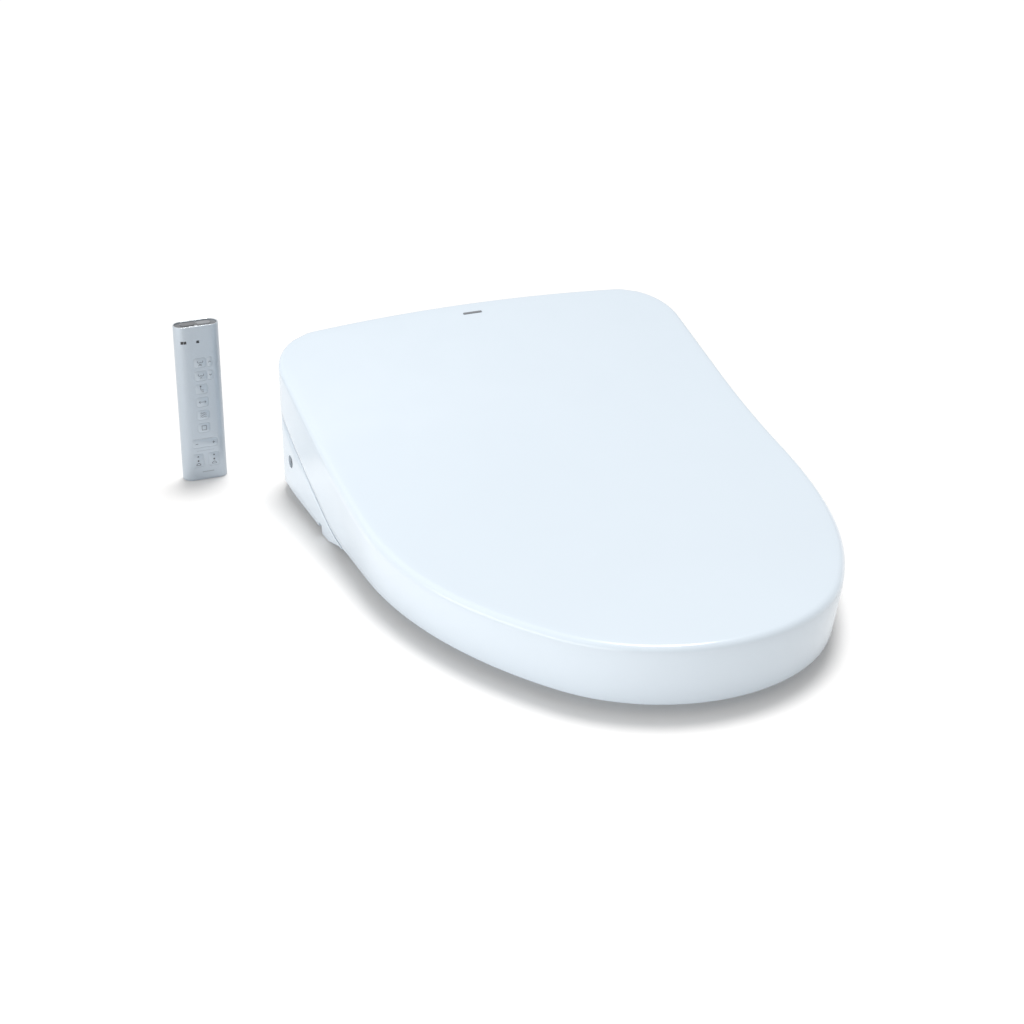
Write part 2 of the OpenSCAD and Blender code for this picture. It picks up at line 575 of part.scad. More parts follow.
// ---- Water ------------------------------------------------------------------------------------
module inlet_valve() {
    color(silver) {
        difference() {
            rod_x(half_w - 30, half_w - 12, inlet_at[0], inlet_at[1], 10.2);
            rod_x(half_w - 26, half_w, inlet_at[0], inlet_at[1], 6);
        }
        translate([half_w - 54, inlet_at[0] - 14, 17]) cube([24, 28, 30]);
    }
    color(grey) rod_y(inlet_at[0] - 30.5, inlet_at[0] - 14, half_w - 42, 32, 9);
}
module water_heater() {
    color([0.86, 0.84, 0.78]) difference() {
        translate([-68, -30, 16]) rbox([62, 58, 44], 8);
        translate([-68, -30, 24]) rbox([52, 48, 30], 6);
    }
    color(silver) for (x = [-84, -52]) translate([x, -30, 60]) cylinder(h = 7, r = 4, $fn = 32);
}
module water_pump() {
    color(dark) translate([-86, 22, 16]) cylinder(h = 36, r = 13, $fn = 64);
    color(white) translate([-86, 22, 52]) rbox([30, 26, 14], 4);
}
tube_z = 70;
module water_tubes() {
    // from the inlet round the back to the pump, and from the heater to the wand
    module run(p) { for (i = [0:len(p) - 2]) stretch(p[i], p[i + 1]); for (q = p) translate(q)
        sphere(r = 3.9, $fn = 24); }
    module stretch(a, b) {
        v = b - a;
        translate(a) rotate([0, acos(v[2] / norm(v)), atan2(v[1], v[0])]) cylinder(h = norm(v), r = 3,
            $fn = 24);
    }
    color([0.62, 0.75, 0.82]) {
        run([[132.9, 20, 20], [126, 38, 20], [-60, 38, 20], [-69, 30, 24]]);
        run([[-52, -30, 71], [-48, -20, 73], [-28, 10, 73], [-22, 30, 73]]);
    }
}
module drain_plug() {
    color(grey) {
        rod_y(case_rear_y - 7.5, case_rear_y - 2, 80, 30, 9);
        rod_y(case_rear_y - 2, case_rear_y + 1.5, 80, 30, 7);
    }
}
module cord_gland() {
    color(dark) difference() {
        union() {
            rod_y(case_rear_y - 8, case_rear_y + 5, 120, 30, 7.3);
            rod_y(case_rear_y + 0.2, case_rear_y + 2.2, 120, 30, 9);
        }
        rod_y(case_rear_y - 12, case_rear_y + 9, 120, 30, 3.6);
    }
}

// ---- Air --------------------------------------------------------------------------------------
dryer_fan = [84, -8];
module blades(n, r0, r1, h, thick) {
    for (i = [0:n - 1]) rotate(360 / n * i) translate([r0, -thick / 2, 0]) cube([r1 - r0, thick, h]);
}
module dryer_duct() {
    color(silver) {
        difference() {
            union() {
                translate([dryer_fan[0], dryer_fan[1], 16]) cylinder(h = 30, r = 30, $fn = 96);
                translate([60, -71.8, 16]) cube([50, 62, 30]);
            }
            translate([dryer_fan[0], dryer_fan[1], 18.5]) cylinder(h = 25, r = 27.5, $fn = 96);
            translate([62.5, -80, 19.5]) cube([45, 75, 23]);
            translate([dryer_fan[0], dryer_fan[1], 40]) cylinder(h = 10, r = 15, $fn = 64);
        }
        translate([dryer_fan[0], dryer_fan[1], 18.4]) cylinder(h = 20, r = 1.5, $fn = 32);
    }
}
module dryer_impeller() { color(dark) translate([dryer_fan[0], dryer_fan[1], 20]) impeller(25.5, 18, 12); }
module impeller(r, h, n) {
    difference() {
        union() {
            cylinder(h = 1.6, r = r, $fn = 64);
            cylinder(h = h, r = 6, $fn = 48);
            blades(n, 5.5, r - 0.4, h, 1);
        }
        translate([0, 0, -1]) cylinder(h = h + 2, r = 1.6, $fn = 32);
    }
}
odour_fan = [134, -34];
module deodorizer_case() {
    color(silver) {
        difference() {
            translate([odour_fan[0] - 16, -53, 16]) cube([32, 38, 20]);
            translate([odour_fan[0], odour_fan[1], 18]) cylinder(h = 15.5, r = 14.5, $fn = 64);
            translate([odour_fan[0], cartridge[0][0] + 6, 19]) cube([20, 24, 12]);
        }
        translate([odour_fan[0], odour_fan[1], 17.9]) cylinder(h = 12, r = 1.5, $fn = 32);
    }
}
module deodorizer_impeller() { color(dark) translate([odour_fan[0], odour_fan[1], 19.5]) impeller(13.5,
    10, 9); }
cartridge_out = half_w - lean(-34, 25) - 0.6;
module filter_cartridge() {
    y0 = cartridge[0][0];
    z0 = cartridge[1][0];
    w = cartridge[0][1] - y0;
    h = cartridge[1][1] - z0;
    color(white) difference() {
        union() {
            translate([cartridge_out - 3, y0, z0]) cube([3, w, h]);
            translate([cartridge_out - 34, y0 + 3, z0 + 1.5]) cube([31.01, w - 6, h - 3]);
        }
        for (i = [0:3]) translate([cartridge_out - 31, y0 + 5.5 + i * 6.6, z0 - 1]) cube([25, 4.4, h + 2]);
        translate([cartridge_out - 1.2, y0 + w / 2 - 7, z0 + h / 2 - 2]) cube([3, 14, 4]);
    }
}

// ---- Electronics --------------------------------------------------------------------------------
module control_board() {
    color([0.12, 0.36, 0.22]) translate([-8, -62, 76]) cube([62, 50, 1.6]);
    color(dark) for (p = [[2, -54], [24, -54], [38, -36], [6, -32]]) translate([p[0], p[1], 77.6])
        cube([10, 10, 2]);
    color(silver) for (p = [[48, -58], [48, -18]]) translate([p[0], p[1], 77.6]) cylinder(h = 3, r = 2.5,
        $fn = 32);
}
module power_module() {
    color(dark) translate([-143, -34, 16]) rbox([46, 62, 20], 4);
    color(grey) for (y = [-52, -34, -16]) translate([-158, y, 36]) cube([20, 4, 5]);
}
module case_screws() {
    color(silver) for (s = [-1, 1]) for (p = [[122, -66], [122, 2], [40, 42]]) translate([s * p[0], p[1],
        8]) {
        cylinder(h = floor_z[0] - 8, r = 3.4, $fn = 32);
    }
}
module release_button() {
    color(grey) {
        rod_x(-half_w + 2.2 + 0.4, -half_w + 10, button_at[0], button_at[1], button_r);
        rod_x(-half_w + 8, -half_w + 9.5, button_at[0], button_at[1], button_r + 2);
    }
}

// ---- Handset --------------------------------------------------------------------------------------
remote_at = [-246, 78];
module stadium(w, d) {
    polygon(concat(arc(w / 2 - d / 2, 0, d / 2, -90, 90, 16), arc(d / 2 - w / 2, 0, d / 2, 90, 270, 16)));
}
module on_remote() { translate([remote_at[0], remote_at[1], 0]) children(); }
cap_z = remote_h - 3;
remote_wall = 1.8;
face_y = -remote_d / 2;
key_x = 0;
key_pitch = 12.3;
key_top_z = 111.3;
function key_z(i) = key_top_z - i * key_pitch;
pair_x = 0;
rocker_z = 35;
user_z = 18.8;
key_deep = 2.2;
key_play = 0.3;
key_size = [10.4, 8.6];
side_key_x = 8.6;
side_key_size = [4.8, 8.6];
rocker_size = [22, 7.4];
user_size = [9.6, 12.6];
user_x = 7.2;
module key_cut(x, z, w, h) {
    translate([x, face_y + 6, z]) rotate([90, 0, 0]) linear_extrude(10) polygon(rrect(w + 2 * key_play,
        h + 2 * key_play, 2.2));
}
module key_at(x, z, w, h) {
    color(silver) on_remote() {
        translate([x, face_y + key_deep, z]) rotate([90, 0, 0]) linear_extrude(key_deep) polygon(rrect(w,
            h, 2));
        // the foot that works the switch
        translate([x, face_y + key_deep + 0.9, z]) rotate([90, 0, 0]) linear_extrude(0.91)
            polygon(rrect(w - 2.6, h - 3, 1));
    }
}
module remote_body() {
    color(silver) on_remote() difference() {
        linear_extrude(cap_z) stadium(remote_w, remote_d);
        translate([0, 0, 2.5]) linear_extrude(cap_z - 2.5 + eps) stadium(remote_w - 2 * remote_wall,
            remote_d - 2 * remote_wall);
        for (i = [0:5]) key_cut(key_x, key_z(i), key_size[0], key_size[1]);
        for (i = [0:1]) key_cut(side_key_x, key_z(i), side_key_size[0], side_key_size[1]);
        key_cut(pair_x, rocker_z, rocker_size[0], rocker_size[1]);
        for (s = [-1, 1]) key_cut(pair_x + s * user_x, user_z, user_size[0], user_size[1]);
        // opening for the battery door
        translate([-10.9, 0, 11.6]) cube([21.8, 20, 66.8]);
    }
}
module remote_top_cap() {
    color(grey) on_remote() difference() {
        union() {
            translate([0, 0, cap_z]) linear_extrude(2) stadium(remote_w - 1.6, remote_d - 1.6);
            translate([0, 0, cap_z - 3]) linear_extrude(3.01) stadium(remote_w - 2 * remote_wall - 0.2,
                remote_d - 2 * remote_wall - 0.2);
        }
        for (s = [-1, 1]) translate([s * 7.2, 0, cap_z - 4]) linear_extrude(10) polygon(rrect(12.6, 7.6,
            2.2));
    }
}
module cap_key(s) {
    color(dark) on_remote() {
        translate([s * 7.2, 0, cap_z - 3.4]) linear_extrude(5.9) polygon(rrect(12, 7, 2));
        // the lip that keeps the key in
        translate([s * 7.2, 0, cap_z - 4.8]) linear_extrude(1.5) polygon(rrect(13.6, 8.8, 2));
    }
}
module remote_battery_door() {
    color(silver) on_remote() {
        translate([-10.5, remote_d / 2 - 1.6, 12]) cube([21, 1.6, 66]);
        translate([-4, remote_d / 2 - 1.6, 30]) cube([8, 2.1, 1.2]);
    }
}
module remote_batteries() {
    color([0.25, 0.3, 0.3]) on_remote() for (s = [-1, 1]) translate([s * 5.4, 1.2, 16]) {
        cylinder(h = 43.5, r = 5.15, $fn = 48);
        translate([0, 0, 43.5]) cylinder(h = 1, r = 1.9, $fn = 32);
    }
}
module remote_board() {
    color([0.12, 0.36, 0.22]) on_remote() translate([-14, face_y + 4.9, 62.5]) cube([28, 1, 66]);
}

module key_rear() { key_at(key_x, key_z(0), key_size[0], key_size[1]); }
module key_rear_soft() { key_at(key_x, key_z(1), key_size[0], key_size[1]); }
module key_front() { key_at(key_x, key_z(2), key_size[0], key_size[1]); }
module key_oscillate() { key_at(key_x, key_z(3), key_size[0], key_size[1]); }
module key_dry() { key_at(key_x, key_z(4), key_size[0], key_size[1]); }
module key_stop() { key_at(key_x, key_z(5), key_size[0], key_size[1]); }
module key_up() { key_at(side_key_x, key_z(0), side_key_size[0], side_key_size[1]); }
module key_down() { key_at(side_key_x, key_z(1), side_key_size[0], side_key_size[1]); }
module key_rocker() { key_at(pair_x, rocker_z, rocker_size[0], rocker_size[1]); }
module key_user_1() { key_at(pair_x - user_x, user_z, user_size[0], user_size[1]); }
module key_user_2() { key_at(pair_x + user_x, user_z, user_size[0], user_size[1]); }
module key_lid() { cap_key(-1); }
module key_seat() { cap_key(1); }

base_plate();
bolt_bushings();
lower_case();
top_cover();
front_panel();
indicator_lens();
sensor_lens();
nozzle_guide();
nozzle_motor();
inlet_valve();
water_heater();
water_pump();
water_tubes();
dryer_duct();
deodorizer_case();
control_board();
power_module();
cord_gland();
seat_damper();
lid_damper();
hinge_shafts();
case_screws();
housing_feet();
drain_plug();
lid_shell();
lid_hinge_lugs();
lid_bumpers();
lid_badge();
seat_top_shell();
seat_base_shell();
seat_heater();
seat_bumpers();
seat_arms();
spray_wand();
wand_tip();
wand_shield();
drive_pinion();
dryer_flap();
dryer_impeller();
deodorizer_impeller();
release_button();
filter_cartridge();
remote_body();
remote_top_cap();
remote_battery_door();
remote_batteries();
remote_board();
key_rear();
key_rear_soft();
key_front();
key_oscillate();
key_dry();
key_stop();
key_up();
key_down();
key_rocker();
key_user_1();
key_user_2();
key_lid();
key_seat();
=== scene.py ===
import bpy, bmesh, json, math
import numpy as np
from mathutils import Vector, Matrix


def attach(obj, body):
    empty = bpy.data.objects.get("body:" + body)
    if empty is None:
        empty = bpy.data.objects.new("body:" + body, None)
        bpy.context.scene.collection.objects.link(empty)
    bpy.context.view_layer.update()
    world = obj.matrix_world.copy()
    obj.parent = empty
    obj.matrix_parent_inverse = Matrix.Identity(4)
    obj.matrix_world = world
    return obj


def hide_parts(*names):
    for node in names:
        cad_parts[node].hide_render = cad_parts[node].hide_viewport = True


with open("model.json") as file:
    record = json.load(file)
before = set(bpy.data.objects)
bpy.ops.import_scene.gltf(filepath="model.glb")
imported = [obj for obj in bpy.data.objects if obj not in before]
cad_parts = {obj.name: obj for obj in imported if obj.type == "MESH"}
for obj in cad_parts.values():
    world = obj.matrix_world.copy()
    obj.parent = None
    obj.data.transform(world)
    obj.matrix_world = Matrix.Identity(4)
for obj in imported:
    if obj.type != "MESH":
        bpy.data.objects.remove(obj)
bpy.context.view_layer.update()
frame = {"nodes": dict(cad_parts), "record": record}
NODES = frame["nodes"]
MM = 0.001

# ---------------------------------------------------------------- shape of the lid, in millimetres
# The nose points towards -Y, and the origin lies on the rest plane, midway between the bolt holes.
SEAT_LEN, HALF_W = 531.0, 191.0
REAR_H, FRONT_H, RIM_R, LID_WALL, CROWN = 132.5, 55.5, 5.6, 4.0, 4.8
REAR_Y = 61.0
NOSE_Y = REAR_Y - SEAT_LEN
REAR_R, CORNER_R, NOSE_R, NOSE_HALF = 2500.0, 48.0, 147.5, math.radians(54.4)
CORNER_X = HALF_W - CORNER_R
CORNER_Y = REAR_Y - REAR_R + math.sqrt((REAR_R - CORNER_R) ** 2 - CORNER_X ** 2)
REAR_HALF = math.atan(CORNER_X / (CORNER_Y - REAR_Y + REAR_R))
SHOULDER_R = (HALF_W - NOSE_R * math.sin(NOSE_HALF)) / (1 - math.sin(NOSE_HALF))
SHOULDER_Y = NOSE_Y + NOSE_R + (SHOULDER_R - NOSE_R) * math.cos(NOSE_HALF)
FLAT_Y, BEND = REAR_Y - 384.5, 250.0
SKIRT_Z, CASE_Z, EAR_Y, DRAFT = 9.0, 5.0, -125.0, 6.0
SEAT_DROP, SEAT_GAP = 10.0, 10.6
EAR_TIP_Z, SPLIT_RISE, SPLIT_GAP, HOOK_Y = 9.5, 0.45, 1.2, 33.4
SPLIT = [(EAR_Y, EAR_TIP_Z), (-110, 12.5), (-97, 17.5), (-78, 27.1), (-55, 38.9), (-39, 47.2), (-19, 57.2),
         (6.5, 70), (22, 77.4), (33.5, 83), (35.5, 97), (42, 107.5), (50, 116.3), (REAR_Y, 118)]
REAR_LOW, SHOULDER_TOP, DECK_TOP = 11.5, 80.0, 117.0
FOOT = [(EAR_Y, 7.4), (-118, 7), (-93, 0.6), (-79, 0.6), (-78.9, CASE_Z), (9, REAR_LOW), (REAR_Y, REAR_LOW)]
QUARTER = math.pi / 2


def half_slope():
    """Tangent of half the ramp's slope."""
    t = (REAR_H - FRONT_H) / (2 * (REAR_Y - FLAT_Y) - BEND)
    for _ in range(6):
        k = 1 - t * t
        rest = REAR_Y - FLAT_Y - BEND
        t -= (BEND * t + rest * 2 * t / k - (REAR_H - FRONT_H)) / (BEND + rest * 2 * (1 + t * t) / (k * k))
    return t


RAMP = 2 * math.atan(half_slope())
BEND_R = BEND / math.sin(RAMP)


def lookup(x, table):
    """Straight lines between the points of a table."""
    return float(np.interp(x, [p[0] for p in table], [p[1] for p in table]))


def rim_z(y):
    """Height of the lid's rim: level at the nose, then a bend of radius BEND_R, then a ramp to the rear."""
    t = max(0.0, y - FLAT_Y)
    b = min(t, BEND)
    return FRONT_H + BEND_R - math.sqrt(BEND_R ** 2 - b ** 2) + (t - b) * math.tan(RAMP)


def top_z(x, y):
    """Height of the lid's crowned top."""
    return rim_z(y) + CROWN * (1 - (x / HALF_W) ** 2)


def deck_z(y):
    """Height of the seat's top face under the lid."""
    return min(rim_z(y) - SEAT_DROP, DECK_TOP)


def split_z(y):
    """Height of the slanting gap between the lid's skirt and the housing's side."""
    return EAR_TIP_Z + SPLIT_RISE * (y - EAR_Y) if y < EAR_Y else lookup(y, SPLIT)


def lid_edge_z(y):
    return max(SKIRT_Z, split_z(y) + SPLIT_GAP)


def case_edge_z(y):
    return split_z(y) - SPLIT_GAP if y < HOOK_Y else SHOULDER_TOP


def lean(y, z):
    """How far the skirt leans in at height z; it fades out towards the rear corners."""
    share = min(1.0, max(0.04, 1 - 0.0075 * (y + 140)))
    return DRAFT * share * max(0.0, rim_z(y) - RIM_R - z) / (rim_z(y) - RIM_R - SKIRT_Z)


def wall_x(y, d):
    """Half width of the outline at y, moved in by d."""
    if y < CORNER_Y:
        return HALF_W - d
    return CORNER_X + math.sqrt(max(0.0, (CORNER_R - d) ** 2 - (y - CORNER_Y) ** 2))


def arc(cx, cy, r, a0, a1, n):
    return [(cx + r * math.cos(a0 + (a1 - a0) * i / n), cy + r * math.sin(a0 + (a1 - a0) * i / n))
            for i in range(n + 1)]


def half_outline(d):
    """Right half of the lid's plan outline, from the rear's centre to the nose, moved inwards by d."""
    bends = [math.asin((y - CORNER_Y) / CORNER_R) for y in (50, 42, 35.5, 33.5)]
    angles = [QUARTER * 0.93, QUARTER * 0.86, bends[0], (bends[0] + bends[1]) / 2, bends[1],
              (bends[1] + bends[2]) / 2, bends[2]]
    angles += [bends[3] * share for share in (1.0, 0.85, 0.7, 0.5, 0.35, 0.17, 0.0)]
    r = CORNER_R - d
    pts = arc(0, REAR_Y - REAR_R, REAR_R - d, QUARTER, QUARTER - REAR_HALF, 14)
    pts += [(CORNER_X + r * math.cos(a), CORNER_Y + r * math.sin(a)) for a in angles]
    ys = [2, -4, -11, -19, -29, -39, -47, -55, -66, -78, -87, -97, -103, -110, -118, -125, -130, -134, -140,
          -150, -165]
    pts += [(HALF_W - d, y) for y in ys if y > SHOULDER_Y + 2]
    pts += arc(HALF_W - SHOULDER_R, SHOULDER_Y, SHOULDER_R - d, 0, NOSE_HALF - QUARTER, 28)
    pts += arc(0, NOSE_Y + NOSE_R, NOSE_R - d, NOSE_HALF - QUARTER, -QUARTER, 24)[1:]
    return pts


def closed(half):
    """The whole outline from its right half."""
    return half + [(-x, y) for x, y in half[-2:0:-1]]


def outline(d):
    return closed(half_outline(d))


# ---------------------------------------------------------------- mesh helpers
def new_mesh(name, verts, faces, smooth=True):
    """An object from points in millimetres, with double points merged and faces turned outwards."""
    me = bpy.data.meshes.new(name)
    me.from_pydata([(x * MM, y * MM, z * MM) for x, y, z in verts], [], faces)
    me.validate()
    ob = bpy.data.objects.new(name, me)
    bpy.context.scene.collection.objects.link(ob)
    bm = bmesh.new()
    bm.from_mesh(me)
    bmesh.ops.remove_doubles(bm, verts=bm.verts, dist=1e-6)
    bmesh.ops.recalc_face_normals(bm, faces=bm.faces)
    for f in bm.faces:
        f.smooth = smooth
    bm.to_mesh(me)
    bm.free()
    return ob


def ring_faces(n, m, start=0, closed_loop=False):
    """Quads between m rings of n points each; closed_loop also joins the last ring to the first."""
    out = []
    for j in range(m if closed_loop else m - 1):
        for i in range(n):
            k = (i + 1) % n
            a, b = start + j * n, start + ((j + 1) % m) * n
            out.append((a + i, a + k, b + k, b + i))
    return out


def by_angle(ob, deg=35):
    for p in ob.data.polygons:
        p.use_smooth = True
    ob.data.set_sharp_from_angle(angle=math.radians(deg))


def stack(name, rings, closed_tube=False):
    """A body from rings of equal count, with flat ends unless it closes on itself."""
    n, m = len(rings[0]), len(rings)
    faces = ring_faces(n, m, 0, closed_tube)
    if not closed_tube:
        faces += [tuple(range(n))[::-1], tuple(range((m - 1) * n, m * n))]
    return new_mesh(name, [p for ring in rings for p in ring], faces)


def rounded(w, h, r, n=6):
    """A rectangle with rounded corners, as a loop round the origin."""
    x, y = w / 2 - r, h / 2 - r
    return (arc(x, y, r, 0, QUARTER, n) + arc(-x, y, r, QUARTER, 2 * QUARTER, n)
            + arc(-x, -y, r, 2 * QUARTER, 3 * QUARTER, n) + arc(x, -y, r, 3 * QUARTER, 4 * QUARTER, n))


def round_loop(cx, cy, r, n=48):
    return arc(cx, cy, r, 0, 4 * QUARTER, n)[:-1]


def applied(ob):
    """Turn a piece's modifiers into its mesh."""
    dg = bpy.context.evaluated_depsgraph_get()
    made = bpy.data.meshes.new_from_object(ob.evaluated_get(dg))
    ob.modifiers.clear()
    ob.data = made


def bevelled(ob, width, angle):
    bev = ob.modifiers.new("round", "BEVEL")
    bev.width, bev.segments = width * MM, 2
    bev.limit_method, bev.angle_limit = "ANGLE", math.radians(angle)
    return bev


def cut(ob, tools):
    """Subtract closed tool meshes from a closed piece, once, and drop the tools."""
    for tool in tools:
        mod = ob.modifiers.new("cut", "BOOLEAN")
        mod.operation, mod.solver, mod.object = "DIFFERENCE", "EXACT", tool
    applied(ob)
    for tool in tools:
        bpy.data.objects.remove(tool)


def finish_piece(ob, body, nodes, mat):
    """Give a piece its material in a single slot, put it under its body, and hide the CAD nodes that it
    stands for.
    """
    ob.data.materials.clear()
    ob.data.materials.append(mat)
    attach(ob, body)
    if nodes:
        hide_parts(*nodes)


# ---------------------------------------------------------------- materials
def plastic(name, color, rough, var, bump, scale, coat=0.0, coat_rough=0.1, rough_var=0.05, metallic=0.0):
    """Moulded plastic: slow mottling of the colour, fine texture in the bump, smears in the roughness."""
    m = bpy.data.materials.new(name)
    m.use_nodes = True
    N, L = m.node_tree.nodes, m.node_tree.links
    bs = N["Principled BSDF"]
    bs.inputs["Metallic"].default_value = metallic
    bs.inputs["IOR"].default_value = 1.5
    bs.inputs["Coat Weight"].default_value = coat
    bs.inputs["Coat Roughness"].default_value = coat_rough
    tc = N.new("ShaderNodeTexCoord")
    slow = N.new("ShaderNodeTexNoise")
    slow.inputs["Scale"].default_value = 9.0
    slow.inputs["Detail"].default_value = 3.0
    L.new(tc.outputs["Object"], slow.inputs["Vector"])
    ramp = N.new("ShaderNodeValToRGB")
    c = np.array(color)
    ramp.color_ramp.elements[0].position = 0.3
    ramp.color_ramp.elements[1].position = 0.7
    ramp.color_ramp.elements[0].color = (*np.clip(c * (1 - var), 0, 1), 1)
    ramp.color_ramp.elements[1].color = (*np.clip(c * (1 + var), 0, 1), 1)
    L.new(slow.outputs["Fac"], ramp.inputs["Fac"])
    L.new(ramp.outputs["Color"], bs.inputs["Base Color"])
    smear = N.new("ShaderNodeTexNoise")
    smear.inputs["Scale"].default_value = 38.0
    smear.inputs["Detail"].default_value = 4.0
    L.new(tc.outputs["Object"], smear.inputs["Vector"])
    mr = N.new("ShaderNodeMapRange")
    mr.inputs["To Min"].default_value = max(0.02, rough - rough_var)
    mr.inputs["To Max"].default_value = min(1.0, rough + rough_var)
    L.new(smear.outputs["Fac"], mr.inputs["Value"])
    L.new(mr.outputs["Result"], bs.inputs["Roughness"])
    fine = N.new("ShaderNodeTexNoise")
    fine.inputs["Scale"].default_value = scale
    fine.inputs["Detail"].default_value = 2.0
    L.new(tc.outputs["Object"], fine.inputs["Vector"])
    bp = N.new("ShaderNodeBump")
    bp.inputs["Strength"].default_value = bump
    bp.inputs["Distance"].default_value = 0.0004
    L.new(fine.outputs["Fac"], bp.inputs["Height"])
    L.new(bp.outputs["Normal"], bs.inputs["Normal"])
    return m


M = {
    "shell_white": plastic("shell_white", (0.668, 0.742, 0.81), 0.24, 0.006, 0.02, 1200, coat=0.2,
                           coat_rough=0.14, rough_var=0.03),
    "inner_white": plastic("inner_white", (0.63, 0.68, 0.72), 0.38, 0.015, 0.06, 1500),
    "grey_plastic": plastic("grey_plastic", (0.16, 0.17, 0.185), 0.42, 0.03, 0.12, 1600),
    "dark_plastic": plastic("dark_plastic", (0.022, 0.023, 0.026), 0.38, 0.05, 0.10, 1600),
    "duct_grey": plastic("duct_grey", (0.33, 0.35, 0.37), 0.5, 0.03, 0.12, 1400),
    "soft_rubber": plastic("soft_rubber", (0.36, 0.38, 0.40), 0.72, 0.04, 0.25, 1800),
    "steel": plastic("steel", (0.56, 0.57, 0.58), 0.28, 0.04, 0.08, 2200, metallic=1.0),
    "brass": plastic("brass", (0.66, 0.50, 0.24), 0.3, 0.05, 0.08, 2000, metallic=1.0),
    "lens": plastic("lens", (0.50, 0.60, 0.68), 0.12, 0.01, 0.01, 900, coat=0.5),
    "dark_lens": plastic("dark_lens", (0.006, 0.006, 0.008), 0.08, 0.02, 0.01, 900, coat=0.6),
    "board_green": plastic("board_green", (0.01, 0.075, 0.035), 0.35, 0.12, 0.12, 800),
    "tank_tan": plastic("tank_tan", (0.60, 0.55, 0.42), 0.5, 0.03, 0.1, 1500),
    "tube_clear": plastic("tube_clear", (0.42, 0.55, 0.62), 0.22, 0.03, 0.03, 1200),
    "foil": plastic("foil", (0.62, 0.36, 0.2), 0.33, 0.05, 0.3, 500, metallic=1.0),
    "handset_silver": plastic("handset_silver", (0.475, 0.53, 0.585), 0.33, 0.012, 0.10, 2600, coat=0.15,
                              coat_rough=0.25, rough_var=0.04, metallic=0.4),
    "handset_key": plastic("handset_key", (0.45, 0.505, 0.56), 0.36, 0.012, 0.10, 2600),
    "handset_cap": plastic("handset_cap", (0.17, 0.175, 0.185), 0.35, 0.03, 0.08, 2200, coat=0.2),
    "battery_sleeve": plastic("battery_sleeve", (0.02, 0.035, 0.06), 0.25, 0.05, 0.02, 900, coat=0.4),
}
slot_of = {s["node"]: s["material_slot"] for s in frame["record"]["subparts"]}
body_of = {n: b for b, l in frame["record"]["behaviour"]["bodies"].items() for n in l}
for name, ob in NODES.items():
    mat = M[slot_of[name]]
    if len(ob.material_slots) == 0:
        ob.data.materials.append(mat)
    for s in ob.material_slots:
        s.material = mat


def refined(node, width):
    """A copy of a CAD node's mesh with its edges rounded to width, which replaces that node."""
    me = NODES[node].data.copy()
    ob = bpy.data.objects.new(node + "_fine", me)
    bpy.context.scene.collection.objects.link(ob)
    bm = bmesh.new()
    bm.from_mesh(me)
    bmesh.ops.remove_doubles(bm, verts=bm.verts, dist=2e-6)
    bmesh.ops.dissolve_limit(bm, angle_limit=math.radians(0.6), verts=bm.verts, edges=bm.edges)
    bmesh.ops.recalc_face_normals(bm, faces=bm.faces)
    bm.to_mesh(me)
    bm.free()
    for p in me.polygons:
        p.use_smooth = True
    bevelled(ob, width, 32).miter_outer = "MITER_ARC"
    even = ob.modifiers.new("even", "WEIGHTED_NORMAL")
    even.mode, even.weight, even.keep_sharp = "FACE_AREA", 90, True
    applied(ob)
    finish_piece(ob, body_of[node], [node], M[slot_of[node]])


# ---------------------------------------------------------------- lid
LID_CENTRE = (0.0, -170.0)
LID_RINGS, CEILING_R, CEILING_GAP = 30, 3.6, 0.3


def shrunk(loop, step):
    """The outline drawn in towards the lid's centre: step 0 is the centre, step LID_RINGS the outline."""
    share = step / LID_RINGS
    cx, cy = LID_CENTRE
    return [(cx + (x - cx) * share, cy + (y - cy) * share) for x, y in loop]


